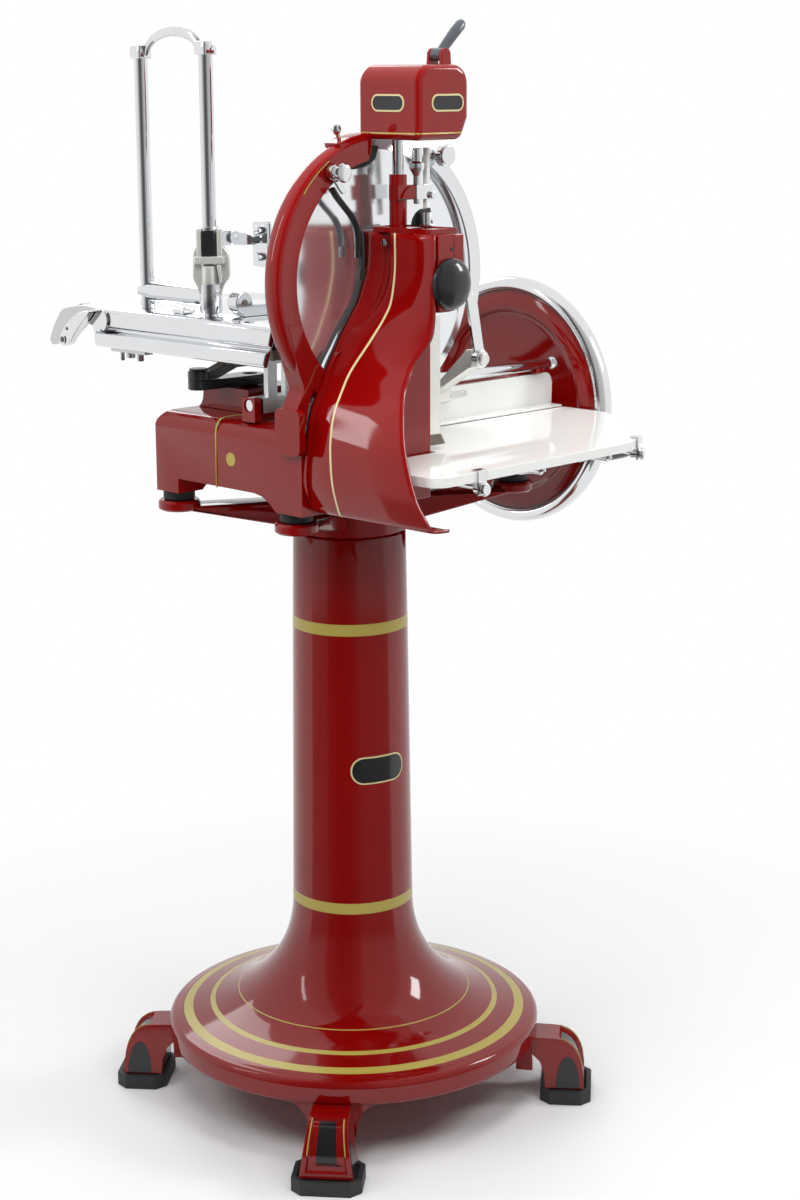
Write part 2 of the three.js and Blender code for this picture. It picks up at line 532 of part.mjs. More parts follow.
function makeRails() {
  const bracket = prism('x',
    slab(railBracket.minY, railBracket.maxY, base.topZ + seat, railBracket.topZ, facets.edge),
    railBracket.minX, railBracket.maxX);
  const socket = bar('x', rail.radius + seat, railBracket.minX - overrun, railBracket.maxX + overrun, rail.y, rail.z);
  piece(machine, 'rail_bracket_1', 'red', cut(bracket, socket));
  const end = rail.rightX;
  const profile = [
    [0, rail.leftX], [rail.radius, rail.leftX], [rail.radius, end - rail.radius], [rail.neckRadius, end - rail.radius / 2],
    [rail.neckRadius, end], [rail.ballRadius * 0.87, end + rail.ballRadius / 2], [rail.ballRadius, end + rail.ballRadius],
    [rail.ballRadius / 2, end + 1.6 * rail.ballRadius], [0, end + 1.7 * rail.ballRadius],
  ];
  piece(machine, 'front_rail', 'chrome', turned('x', profile, rail.y, rail.z, facets.small));
  const cradle = join(
    block(railArm.rootX, railArm.maxX, railArm.minY, railArm.maxY, railArm.lowZ, railArm.lowZ + 2 * railArm.thick),
    block(railArm.minX, railArm.maxX, railArm.minY, railArm.maxY, railArm.lowZ, railArm.capZ + railArm.thick / 2),
    block(railArm.minX, railArm.maxX, rail.y - rail.radius, railArm.maxY, rail.z - rail.radius - seat - railArm.thick / 4,
      railArm.capZ + railArm.thick / 2));
  const groove = bar('x', rail.radius + seat, railArm.minX - overrun, railArm.maxX + overrun, rail.y, rail.z);
  piece(machine, 'rail_bracket_2', 'red', cut(cradle, groove));
  piece(machine, 'rear_rail', 'steel',
    block(rearRail.minX, rearRail.maxX, rearRail.minY, rearRail.maxY, base.topZ + seat, rearRail.topZ));
}

function makeBoard() {
  const face = new THREE.Shape();
  face.moveTo(board.minX, board.lowZ);
  face.lineTo(board.maxX, board.lowZ);
  face.lineTo(board.maxX, board.topZ - board.corner);
  face.absarc(board.maxX - board.corner, board.topZ - board.corner, board.corner, 0, Math.PI / 2);
  face.lineTo(board.minX, board.topZ);
  piece(machine, 'shield_board', 'cream',
    prism('y', face, board.backY - seat - board.thick, board.backY - seat));
}

function trayOutline(inset) {
  const round = arcPoints(tray.leftX + tray.round, tray.frontY + tray.round, tray.round - inset, 180, 270, facets.corner);
  return polygon([
    ...round, [trayForm.cornerX - inset / 2, trayForm.cornerY + inset],
    [trayForm.tipX - inset, trayForm.tipY + inset / 2], [tray.rightX - inset, trayEnd.bendY - inset / 2],
    [tray.rightX - inset, trayForm.backY - inset], [trayForm.notchX + inset, trayForm.backY - inset],
    [trayForm.notchX + inset, trayForm.notchY - inset], [tray.leftX + inset, trayForm.notchY - inset],
  ]);
}

function makeTray() {
  const lowZ = tray.topZ - tray.thick;
  const plate = prism('z', trayOutline(0), lowZ, tray.topZ, tray.bevel);
  const under = prism('z', trayOutline(tray.lip), lowZ - overrun, tray.topZ - tray.skin);
  piece(machine, 'tray', 'cream', cut(plate, under));
  const wallY = base.minY - seat;
  const barTop = lowZ + tray.thick - tray.skin;
  const frameParts = [bar('x', trayFrame.radius, trayFrame.leftX, trayFrame.rightX, trayFrame.frontY, trayFrame.z)];
  for (const x of [trayFrame.barX, trayFrame.bar2X]) {
    frameParts.push(bar('y', trayFrame.radius, trayFrame.frontY, wallY, x, trayFrame.z));
    frameParts.push(bar('y', 2 * trayFrame.radius, wallY - tray.skin, wallY, x, trayFrame.z - trayFrame.radius));
    frameParts.push(bar('z', trayFrame.radius, trayFrame.z, barTop - seat, x, trayFrame.frontY));
  }
  piece(machine, 'tray_frame', 'chrome', join(...frameParts));
}

function makeClips() {
  const edgeX = tray.leftX + tray.round;
  const edges = [
    [edgeX, tray.frontY, trayForm.cornerX, trayForm.cornerY, (clip.x1 - edgeX) / (trayForm.cornerX - edgeX)],
    [trayForm.cornerX, trayForm.cornerY, trayForm.tipX, trayForm.tipY, clip.edgeShare],
  ];
  edges.forEach(([x1, y1, x2, y2, share], i) => {
    const holder = new THREE.Group();
    holder.position.set(x1 + share * (x2 - x1), y1 + share * (y2 - y1), 0);
    holder.rotation.z = Math.atan2(y2 - y1, x2 - x1);
    machine.add(holder);
    const half = clip.width / 2;
    const outer = -seat - clip.thick;
    const hook = join(
      block(-half, half, outer, -seat, clip.lowZ, tray.topZ + seat + clip.thick),
      block(-half, half, outer, clip.hookDepth, tray.topZ + seat, tray.topZ + seat + clip.thick),
      bar('y', clip.bossRadius, outer, -seat + clip.hookDepth, 0, trayFrame.z - clip.bossRadius / 2));
    const hole = bar('y', thumb.radius + seat, outer - overrun, clip.hookDepth + overrun, 0,
      trayFrame.z - clip.bossRadius / 2);
    piece(holder, `tray_clip_${i + 1}`, 'chrome', cut(hook, hole));
    const headY = outer - seat;
    const screwPart = join(
      bar('y', thumb.radius, headY - thumb.headThick / 2, headY + thumb.length / 2),
      turned('y', [[0, headY - thumb.headThick], [thumb.headRadius * 0.8, headY - thumb.headThick],
        [thumb.headRadius, headY - thumb.headThick / 2], [thumb.headRadius * 0.7, headY], [0, headY]], 0, 0,
      facets.small));
    const knob = piece(holder, `thumb_screw_${i + 1}`, 'chrome', screwPart);
    knob.position.z = trayFrame.z - clip.bossRadius / 2;
  });
}

// Ring guard, knife housing and side cover

function ringKnobPart() {
  const start = ring.innerRadius + nick;
  const end = ring.radius + ringKnob.length;
  const profile = [
    [0, start], [ringKnob.stemRadius, start], [ringKnob.stemRadius, end - 2 * ringKnob.ballRadius],
    ...arcPoints(0, end - ringKnob.ballRadius, ringKnob.ballRadius, -ringKnob.spread, ringKnob.spread, facets.hex),
    [0, end],
  ];
  const knob = turned('x', profile, 0, 0, facets.tiny).rotateY(-radians(ringKnob.atDegrees));
  return knob.translate(knife.x, (ring.frontY + ring.backY) / 2, knife.z);
}

function makeRing() {
  const bead = arcPoints(0, 0, 1, 90, -90, facets.hex).map(([c, s]) => [
    ring.radius - ring.bead + ring.bead * c,
    (ring.frontY + ring.backY) / 2 + (ring.backY - ring.frontY) / 2 * s]);
  const profile = [
    ...bead, [ring.flangeRadius, ring.frontY], [ring.flangeRadius, ring.frontY + ring.skin],
    [ring.innerRadius, ring.frontY + ring.skin], [ring.innerRadius, ring.backY], bead[0],
  ];
  const hoop = turned('y', profile, knife.x, knife.z, facets.large);
  const far = 2 * ring.radius;
  const spanCut = new THREE.Shape();
  spanCut.moveTo(knife.x, knife.z);
  for (const [a, b] of arcPoints(knife.x, knife.z, far, ringSpan.endDegrees - 360, ringSpan.startDegrees, facets.far)) {
    spanCut.lineTo(a, b);
  }
  const arcPart = cut(hoop, prism('y', spanCut, ring.frontY - overrun, ring.backY + overrun));
  const side = new THREE.Shape();
  const inner = base.minX - seat;
  const onRing = (radius, degrees) => arcPoints(knife.x, knife.z, radius, degrees, degrees, 1)[0];
  side.moveTo(tab.outerX, tab.topZ - tab.corner);
  side.quadraticCurveTo(tab.outerX, tab.topZ, tab.waistX, tab.waistZ);
  side.lineTo(...onRing(ring.radius - ring.skin, tabDegrees.outer));
  side.lineTo(...onRing(ring.innerRadius + seat, tabDegrees.inner));
  for (const [a, b] of arcPoints(knife.x, knife.z, ring.innerRadius + seat, tabDegrees.from, tabDegrees.to, 2)) {
    side.lineTo(a, b);
  }
  side.lineTo(tabKnee.x, tabKnee.z);
  side.lineTo(inner, tab.topZ - tab.corner);
  const limb = prism('y', side, ring.frontY, ring.backY);
  const plate = prism('x', slab(tab.minY, tab.maxY, tab.lowZ, tab.topZ, tab.corner), tab.outerX, inner);
  piece(machine, 'ring_guard', 'red', join(arcPart, limb, plate, ringKnobPart()));
}

// One height of the side cover: its back and front edge on the outer face
function coverRow([down, backDepth, lean, frontDepth, sweep]) {
  const z = cover.topZ - down * cover.height;
  return {
    back: [cover.x - backDepth * cover.depthX, cover.backY - lean * cover.backLean, z],
    front: [cover.x - frontDepth * cover.depthX, neck.frontY + sweep * cover.sweepY, z],
  };
}

// The cover's outer face at one Y, from its top to its lip, as X and Z
function coverPath(y, inset) {
  return coverShares.slice(0, -2).map((shares) => {
    const { back, front } = coverRow(shares);
    const share = THREE.MathUtils.clamp((y - back[1]) / (front[1] - back[1]), 0, 1);
    return [back[0] + share * (front[0] - back[0]) + inset, back[2]];
  });
}

// The same place on the sheet's inner face, square to the way that the edge runs
function inward(edge, i) {
  const before = edge[Math.max(i - 1, 0)];
  const after = edge[Math.min(i + 1, edge.length - 1)];
  const run = new THREE.Vector2(after[0] - before[0], after[2] - before[2]).normalize();
  return [edge[i][0] - run.y * cover.skin, edge[i][1], edge[i][2] + run.x * cover.skin];
}

function makeCover() {
  const rows = coverShares.map(coverRow);
  const backEdge = rows.map((row) => row.back);
  const frontEdge = rows.map((row) => row.front);
  const sheet = lofted(rows.map((row, i) => [row.back, row.front, inward(frontEdge, i), inward(backEdge, i)]));
  const notch = prism('x', polygon([
    [pocket.minY, cover.topZ + overrun], [pocket.maxY, cover.topZ + overrun], [pocket.lowY - cover.skin, pocket.lowZ],
  ]), cover.x - cover.depthX, cover.x + 2 * cover.skin);
  piece(machine, 'side_cover', 'red', cut(sheet, notch));
}

function makeHousing() {
  const neckSide = new THREE.Shape();
  neckSide.moveTo(neck.minX, neck.topZ);
  neckSide.lineTo(neck.maxX, neck.topZ);
  neckSide.lineTo(neck.maxX, neck.lowZ + neck.turn);
  neckSide.quadraticCurveTo(neck.maxX, neck.lowZ, neck.lowX, neck.lowZ);
  neckSide.lineTo(neck.minX, neck.lowZ);
  const neckBody = prism('y', neckSide, neck.frontY, neck.backY);
  const inset = cover.skin + 2 * seat;
  const edge = coverPath(blockPart.frontY, inset + 3 * lap).filter(([, z]) => z < blockPart.topZ && z > blockPart.lowZ);
  const rear = prism('y', polygon([
    [neck.minX, blockPart.topZ], ...edge, [blockPart.maxX, blockPart.lowZ], [blockPart.maxX, blockPart.topZ],
  ]), blockPart.frontY, neck.backY);
  const wall = deck.wall;
  const thin = wall / 2;
  const cavity = [
    block(neck.minX + thin, neck.maxX - thin, neck.frontY + wall, neck.backY - wall, neck.lowZ + wall, neck.topZ - wall),
    block(neck.minX, blockPart.maxX - thin, blockPart.frontY + wall, neck.backY - wall, blockPart.lowZ - overrun,
      neck.lowZ + 2 * wall),
    bar('y', knifeShaft.radius + seat, neck.frontY - overrun, neck.backY + overrun, knife.x, knife.z),
    bar('y', counter.radius + seat, blockPart.frontY - overrun, neck.backY + overrun, knife.x, counter.z),
  ];
  piece(machine, 'knife_housing', 'red', cut(join(neckBody, rear), ...cavity));
}

function makeLid() {
  const low = neck.topZ + seat;
  const top = low + lid.thick;
  const plate = prism('z', slab(lid.minX, lid.maxX, lid.minY, lid.maxY, lid.corner), low, top);
  const tube = bar('z', tubePart.radius, low, tubePart.topZ, tubePart.x, tubePart.y, facets.medium);
  const clamp = block(tubePart.x - tubePart.radius, tubePart.x + tubePart.blockReach, tubePart.y - tubePart.radius,
    tubePart.y + tubePart.radius / 2, tubePart.blockZ, tubePart.blockTopZ);
  const bore = bar('z', post.bore, low + lid.thick, tubePart.topZ + overrun, tubePart.x, tubePart.y);
  piece(machine, 'top_plate', 'red', cut(join(plate, tube, clamp), bore));
}

function makeHubCap() {
  const face = neck.frontY - seat;
  const profile = [[0, face], [cap.radius, face], [cap.radius, face - cap.rim]];
  for (const [r, y] of arcPoints(0, 0, 1, cap.edgeDegrees, cap.crownDegrees, facets.hex)) {
    profile.push([cap.radius * r, face - cap.rim - (cap.height - cap.rim) * y]);
  }
  profile[profile.length - 1][0] = 0;
  piece(machine, 'hub_cap', 'black', turned('y', profile, knife.x, knife.z, facets.medium));
}

function makeWiper() {
  const depth = wiper.maxY - wiper.minY;
  const width = wiper.maxX - wiper.minX;
  const strip = join(
    block(wiper.minX, wiper.maxX, wiper.minY, wiper.maxY, wiper.lowZ, wiper.topZ),
    block(wiper.minX, wiper.footMaxX, wiper.minY, wiper.maxY + 2 * depth, wiper.lowZ, wiper.footZ),
    block(blockPart.maxX + seat, wiper.minX, wiper.minY, wiper.maxY, wiper.topZ - width, wiper.topZ));
  piece(machine, 'wiper_strip', 'chrome', strip);
}

// Sharpener

function makeSharpener() {
  const postTop = boxTop - post.headroom;
  const leverZ = boxTop + sharpLever.rise;
  piece(machine, 'sharpener_post', 'chrome',
    bar('z', post.radius, neck.topZ + lid.thick + 2 * seat, postTop, tubePart.x, tubePart.y));
  const front = new THREE.Shape();
  front.moveTo(box.minX, box.lowZ);
  front.lineTo(box.maxX - box.chamfer / 2, box.lowZ);
  front.lineTo(box.maxX, box.lowZ + box.chamfer);
  front.lineTo(box.maxX, boxTop - box.corner);
  front.absarc(box.maxX - box.corner, boxTop - box.corner, box.corner, 0, Math.PI / 2);
  front.absarc(box.minX + box.corner, boxTop - box.corner, box.corner, Math.PI / 2, Math.PI);
  const shell = prism('y', front, box.minY, box.maxY, box.skin);
  const hollow = block(box.minX + box.skin, box.maxX - box.skin, box.minY + box.skin, box.maxY - box.skin,
    box.lowZ + box.chamfer, boxTop - box.corner / 2);
  const mouth = block(box.minX + box.skin, box.maxX - box.chamfer / 2 - box.skin, box.minY + box.skin,
    box.maxY - box.skin, box.lowZ - overrun, boxTop - box.corner);
  const notch = bar('y', boxNotch.radius, boxNotch.minY, boxNotch.maxY, knife.x, knife.z, facets.large);
  const lump = cut(
    bar('z', post.radius + box.skin, postTop - box.corner, boxTop - box.skin, tubePart.x, tubePart.y),
    bar('z', post.bore, postTop - 2 * box.corner, postTop + post.travel + 2 * seat, tubePart.x, tubePart.y));
  const earBase = [];
  for (const side of [-1, 1]) {
    const y = sharpLever.y + side * (sharpLever.width / 2 + seat + ear.thick / 2);
    earBase.push(link('y', sharpLever.x, boxTop - box.skin, ear.radius, sharpLever.x, leverZ,
      ear.radius - ear.taper, y - ear.thick / 2, y + ear.thick / 2));
  }
  const leverReach = sharpLever.width / 2 + 2 * seat + ear.thick;
  const leverHole = bar('y', sharpLever.pin + seat, sharpLever.y - leverReach, sharpLever.y + leverReach, sharpLever.x,
    leverZ);
  piece(machine, 'sharpener_box', 'red', cut(join(cut(shell, hollow, mouth, notch), lump, ...earBase), leverHole));
  const middleY = (knife.faceY + knife.backY) / 2;
  const stoneZ = box.lowZ + stone.rise;
  const stones = [
    bar('z', stone.spindleRadius, stoneZ, boxTop - box.corner / 2 - seat, stone.x, stone.stemY),
    bar('y', stone.spindleRadius, stone.stemY - stone.spindleRadius, middleY + stone.gap + stone.thick, stone.x, stoneZ),
    bar('y', stone.radius, middleY - stone.gap - stone.thick, middleY - stone.gap, stone.x, stoneZ, facets.medium),
    bar('y', stone.radius, middleY + stone.gap, middleY + stone.gap + stone.thick, stone.x, stoneZ, facets.medium),
  ];
  piece(machine, 'sharpener_stones', 'gear', join(...stones));
  const lever = new THREE.Group();
  lever.position.set(sharpLever.x, sharpLever.y, leverZ);
  lever.rotation.y = radians(sharpLever.degrees);
  machine.add(lever);
  const half = sharpLever.width / 2;
  piece(lever, 'sharpener_lever', 'black', join(
    bar('y', sharpLever.pivotRadius, -half, half),
    bar('y', sharpLever.pin, -leverReach, leverReach),
    turned('z', [[0, 0], [sharpLever.radius * 0.6, 0], [sharpLever.radius * 0.75, sharpLever.length / 4],
      [sharpLever.radius, sharpLever.length * 0.6], [sharpLever.radius * 0.9, sharpLever.length * 0.92],
      [sharpLever.radius * 0.5, sharpLever.length], [0, sharpLever.length]], 0, 0, facets.small)));
  const screwTop = box.lowZ - post.travel - 2 * seat;
  piece(machine, 'set_screw', 'chrome', join(
    bar('z', setScrew.radius, setScrew.lowZ, screwTop, setScrew.x, setScrew.y),
    bar('z', setScrew.nutRadius, setScrew.nutZ, setScrew.nutZ + setScrew.nutThick, setScrew.x, setScrew.y, facets.hex),
    block(tubePart.x + tubePart.blockReach + seat, gauge.maxX, setScrew.y - setScrew.radius, tubePart.y,
      tubePart.blockZ, tubePart.blockTopZ),
    block(gauge.minX, gauge.maxX, gauge.minY, gauge.maxY, gauge.lowZ, screwTop)));
}

// Swing guard and its bracket

function makeGuard() {
  const front = guard.frontY;
  const profile = [
    [guard.innerRadius, guard.backY], [guard.innerRadius, front], [guard.outerRadius, front],
    [guard.outerRadius, guard.backY + guard.lip], [guard.outerRadius - guard.lip, guard.backY + guard.lip],
    [guard.outerRadius - guard.lip, guard.backY], [guard.innerRadius, guard.backY],
  ];
  const hoop = turned('y', profile, knife.x, knife.z, facets.large);
  const far = 2 * ring.radius;
  const away = new THREE.Shape();
  away.moveTo(knife.x, knife.z);
  for (const [a, b] of arcPoints(knife.x, knife.z, far, guard.endDegrees, guard.startDegrees + 360, facets.far)) {
    away.lineTo(a, b);
  }
  const arcPart = cut(hoop, prism('y', away, front - overrun, guard.backY + guard.lip + overrun));
  const middle = (guard.innerRadius + guard.outerRadius) / 2;
  const rootX = knife.x + middle * Math.cos(radians(guard.startDegrees));
  const rootZ = knife.z + middle * Math.sin(radians(guard.startDegrees));
  const limb = link('y', guardArm.pivotX, guardArm.pivotZ, guardArm.bossRadius, rootX, rootZ, guardArm.width / 2,
    front, guard.backY);
  const boss = bar('y', guardArm.bossRadius, guardArm.frontY, guard.backY, guardArm.pivotX, guardArm.pivotZ, facets.medium);
  const knobAngle = radians(guardKnob.atDegrees);
  const knobX = knife.x + guardKnob.standRadius * Math.cos(knobAngle) - guardKnob.radius / 2;
  const knobZ = knife.z + guardKnob.standRadius * Math.sin(knobAngle) - guardKnob.radius / 2;
  const knob = [
    bar('y', guardKnob.neckRadius, front - guardKnob.neck, guard.backY, knobX, knobZ, facets.small),
    bar('y', guardKnob.radius, front - guardKnob.neck - guardKnob.thick, front - guardKnob.neck, knobX, knobZ, facets.medium),
  ];
  const hole = bar('y', guardArm.pinRadius + seat, guardArm.frontY - overrun, guard.backY + overrun, guardArm.pivotX,
    guardArm.pivotZ);
  piece(machine, 'swing_guard', 'chrome', cut(join(arcPart, limb, boss, ...knob), hole));
  const faceY = board.backY - seat - board.thick - seat;
  const pinBackY = guard.backY + seat;
  const t = guardFoot.thick;
  const side = polygon([
    [faceY, guardFoot.lowZ], [faceY, guardFoot.topZ], [guardFoot.stepY, guardFoot.topZ],
    [pinBackY + 2 * t, guardArm.pivotZ + guardArm.bossRadius], [pinBackY, guardArm.pivotZ + guardArm.bossRadius],
    [pinBackY, guardArm.pivotZ - guardArm.bossRadius], [pinBackY + t, guardArm.pivotZ - guardArm.bossRadius],
    [guardFoot.stepY, guardFoot.topZ - t], [faceY - t, guardFoot.topZ - t], [faceY - t, guardFoot.lowZ],
  ]);
  const arms = prism('x', side, guardFoot.earX - t, guardFoot.earX + guardFoot.armWidth - t);
  const pin = bar('y', guardArm.pinRadius, guardArm.frontY - nick, pinBackY + t, guardArm.pivotX, guardArm.pivotZ);
  const head = bar('y', 1.6 * guardArm.pinRadius, guardArm.frontY - t, guardArm.frontY - seat, guardArm.pivotX,
    guardArm.pivotZ);
  const plate = block(guardFoot.minX - t, guardFoot.maxX, faceY - t, faceY, guardFoot.lowZ, guardFoot.topZ);
  piece(machine, 'guard_bracket', 'steel', join(arms, pin, head, plate));
}

function makeDeflector() {
  const clampBack = ring.frontY - seat;
  const leverY = clampBack - deflector.clampLength / 2;
  const clampPart = bar('y', deflector.clampRadius, clampBack - deflector.clampLength, clampBack, deflector.x,
    deflector.z, facets.small);
  const curve = new THREE.CatmullRomCurve3([
    new THREE.Vector3(deflectorBend.rootX, leverY, deflectorBend.rootZ),
    new THREE.Vector3(deflectorBend.shoulderX, leverY, deflectorBend.shoulderZ),
    new THREE.Vector3(deflectorBend.kneeX, leverY, deflectorBend.kneeZ),
    new THREE.Vector3(deflectorBend.endX, leverY, deflectorBend.endZ),
  ]);
  const section = slab(-deflector.thick / 2, deflector.thick / 2, -deflector.width / 2, deflector.width / 2);
  piece(machine, 'deflector_lever', 'black', join(clampPart, swept(section, curve, facets.tiny)));
}

makeStand();
makeStandHead();
makeBase();
makeShaftBearing();
makeCrankHousing();
makeRails();
makeBoard();
makeTray();
makeClips();
makeRing();
makeCover();
makeHousing();
makeLid();
makeHubCap();
makeWiper();
makeSharpener();
makeGuard();
makeDeflector();

// Flywheel, handle and shafts

function makeWheel() {
  const axle = new THREE.Group();
  axle.position.set(0, shaft.y, shaft.z);
  machine.add(axle);
  const near = wheel.x - wheel.rimHalf;
  const far = wheel.x + wheel.rimHalf;
  const rim = arcPoints(wheel.radius - wheel.rimHalf, wheel.x, wheel.rimHalf, -90, 90, facets.tiny);
  const webNear = wheel.webX - wheel.webThick / 2;
  const webFar = wheel.webX + wheel.webThick / 2;
  const profile = [
    [wheelHub.boreRadius, wheelHub.minX], [wheel.hubRadius, wheelHub.minX],
    [wheel.hubRadius + wheel.dish / 2, webNear - wheel.dish / 2], [2 * wheel.hubRadius, webNear],
    [wheel.rimInner - 2 * wheel.dish, webNear], [wheel.rimInner - wheel.dish, webNear - wheel.dish / 3],
    [wheel.rimInner, near + nick], ...rim, [wheel.rimInner, far - nick], [wheel.rimInner - wheel.dish / 2, webFar],
    [wheel.hubRadius + wheel.dish / 2, webFar], [wheel.hubRadius, wheelHub.maxX], [wheelHub.boreRadius, wheelHub.maxX],
    [wheelHub.boreRadius, wheelHub.minX],
  ];
  const disk = turned('x', profile, 0, 0, facets.rim);
  const hole = bar('x', handle.boltRadius + seat, near - overrun, far + overrun, handle.y, handle.z);
  piece(axle, 'flywheel', 'red', cut(disk, hole));
  const gearX = driveGear.x - driveGear.width / 2;
  const gear = prism('x', gearOutline(driveGear.radius - driveGear.tooth, driveGear.tooth, driveGear.teeth, 0),
    gearX, gearX + driveGear.width);
  const spindle = join(bar('x', shaft.radius, shaft.leftX + driveGear.width * 2, wheelHub.maxX + shaft.radius / 2, 0, 0,
    facets.medium), gear,
  bar('x', 1.8 * shaft.radius, wheelHub.maxX + seat, wheelHub.maxX + shaft.radius, 0, 0, facets.hex));
  piece(axle, 'main_shaft', 'gear', spindle);
  return axle;
}

function makeHandle(axle) {
  const end = grip.neckRadius / 3;
  const near = wheel.x - wheel.rimHalf - seat;
  const far = wheel.x + wheel.rimHalf + seat;
  const profile = [
    [0, near - handle.headThick], [handle.headRadius - nick, near - handle.headThick],
    [handle.headRadius, near - handle.headThick / 2], [handle.headRadius, near], [handle.boltRadius, near],
    [handle.boltRadius, far], [handle.headRadius, far], [handle.headRadius, handle.gripMinX - seat],
    [grip.pinRadius, handle.gripMinX - seat], [grip.pinRadius, handle.gripMaxX - 2 * end], [0, handle.gripMaxX - 2 * end],
  ];
  piece(axle, 'handle_axle', 'chrome', turned('x', profile, handle.y, handle.z, facets.small));
  const long = handle.gripMaxX - handle.gripMinX;
  const at = (share) => handle.gripMinX + share * long;
  const outside = [
    [grip.bore, at(0)], [grip.neckRadius, at(0)], [grip.radius, at(gripShares.swell)], [grip.radius, at(gripShares.full)],
    [grip.neckRadius, at(gripShares.end)], [grip.bore, at(1)], [0, at(1)], [0, handle.gripMaxX - 2 * end + seat],
    [grip.bore, handle.gripMaxX - 2 * end + seat], [grip.bore, at(0)],
  ];
  piece(axle, 'handle_grip', 'black', turned('x', outside, handle.y, handle.z, facets.small));
}

function makeCounterShaft() {
  const gearY = shaft.y - counter.gearWidth / 2;
  const gear = prism('y', gearOutline(counter.gearRadius - driveGear.tooth, driveGear.tooth, counter.teeth, 0),
    gearY, gearY + counter.gearWidth).translate(knife.x, 0, counter.z);
  const low = prism('y', gearOutline(sprocket.lowRadius - sprocket.tooth, sprocket.tooth, sprocket.lowTeeth, 0),
    sprocket.y - sprocket.thick / 2, sprocket.y + sprocket.thick / 2).translate(knife.x, 0, counter.z);
  const spindle = bar('y', counter.radius, counter.frontY + overrun, counter.rearY, knife.x, counter.z);
  piece(machine, 'counter_shaft', 'gear', join(spindle, gear, low));
}

function makeKnife() {
  const axle = new THREE.Group();
  axle.position.set(knife.x, 0, knife.z);
  machine.add(axle);
  const profile = [
    [0, knife.faceY - nick], [knife.hubRadius, knife.faceY - nick], [knife.bevelRadius, knife.faceY - nick / 2],
    [knife.radius - lap, knife.faceY], [knife.radius, knife.faceY - knife.edge / 2],
    [knife.radius, knife.faceY - knife.edge], [knife.bevelRadius, knife.backY + lap],
    [knife.bevelRadius - 2 * lap, knife.backY + nick], [knife.hubRadius, knife.backY], [0, knife.backY],
  ];
  piece(axle, 'knife', 'mirror', turned('y', profile, 0, 0, facets.rim));
  const start = knife.backY - seat;
  const flangeLow = neck.backY + seat;
  const high = prism('y', gearOutline(sprocket.highRadius - sprocket.tooth, sprocket.tooth, sprocket.highTeeth, 0),
    sprocket.y - sprocket.thick / 2, sprocket.y + sprocket.thick / 2);
  const flange = Math.max(flangeLow, start - knifeShaft.flangeThick);
  piece(axle, 'knife_shaft', 'gear', join(
    bar('y', knifeShaft.flangeRadius, flange, start, 0, 0, facets.medium),
    bar('y', knifeShaft.radius, knifeShaft.frontY, start, 0, 0, facets.medium), high));
}

function makeChain() {
  const low = sprocket.lowRadius + chain.clear;
  const high = sprocket.highRadius + chain.clear;
  const loop = (extra) => link('y', knife.x, counter.z, low + extra, knife.x, knife.z, high + extra,
    sprocket.y - chain.width / 2, sprocket.y + chain.width / 2);
  piece(machine, 'drive_chain', 'gear', cut(loop(chain.thick),
    link('y', knife.x, counter.z, low, knife.x, knife.z, high, sprocket.y - chain.width, sprocket.y + chain.width)));
}

function makeCrank() {
  const pinX = crown.x - crank.radius;
  const armPart = link('z', crown.x, shaft.y, crank.hubRadius, pinX, shaft.y, crank.pinBossRadius, crank.lowZ, crank.topZ, nick);
  const hole = bar('z', crankshaft.bore, crank.lowZ - overrun, crank.topZ + overrun, crown.x, shaft.y);
  const rodTop = rod.lowZ + rod.thick;
  const pin = [
    bar('z', crank.pinRadius, crank.topZ - lap, rodTop + crank.pinRadius / 2, pinX, shaft.y),
    bar('z', crank.headRadius, rodTop + seat, rodTop + crank.pinRadius / 2, pinX, shaft.y, facets.medium),
  ];
  piece(machine, 'crank', 'black', cut(join(armPart, ...pin), hole));
  const teeth = prism('z', gearOutline(crown.radius - crown.tooth, crown.tooth, crown.teeth, 0), crown.lowZ,
    crown.lowZ + crown.thick).translate(crown.x, shaft.y, 0);
  piece(machine, 'crankshaft', 'gear', join(
    bar('z', crankshaft.radius, crown.lowZ, crankshaft.topZ, crown.x, shaft.y, facets.medium), teeth));
  const endX = pinX + rod.length;
  const t = rod.thick;
  const side = new THREE.Shape();
  side.moveTo(pinX, rod.lowZ);
  side.lineTo(pinX + rod.riseStart, rod.lowZ);
  side.lineTo(pinX + rod.riseEnd, rod.lowZ + rod.rise);
  side.lineTo(endX, rod.lowZ + rod.rise);
  side.lineTo(endX, rod.lowZ + rod.rise + t);
  side.lineTo(pinX + rod.riseEnd - t / 2, rod.lowZ + rod.rise + t);
  side.lineTo(pinX + rod.riseStart - t / 2, rod.lowZ + t);
  side.lineTo(pinX, rod.lowZ + t);
  const body = prism('y', side, shaft.y - rod.width / 2, shaft.y + rod.width / 2);
  const eyes = [
    bar('z', rod.eyeRadius, rod.lowZ, rod.lowZ + t, pinX, shaft.y, facets.medium),
    bar('z', rod.eyeRadius, rod.lowZ + rod.rise, rod.lowZ + rod.rise + t, endX, shaft.y, facets.medium),
  ];
  const bores = [
    bar('z', rod.bore, rod.lowZ - overrun, rodTop + overrun, pinX, shaft.y),
    bar('z', rod.bore, rod.lowZ, rodTop + 2 * rod.rise, endX, shaft.y),
  ];
  piece(machine, 'connecting_rod', 'black', cut(join(body, ...eyes), ...bores));
}

// Carriage that runs on the two rails

const carriage = new THREE.Group();
machine.add(carriage);

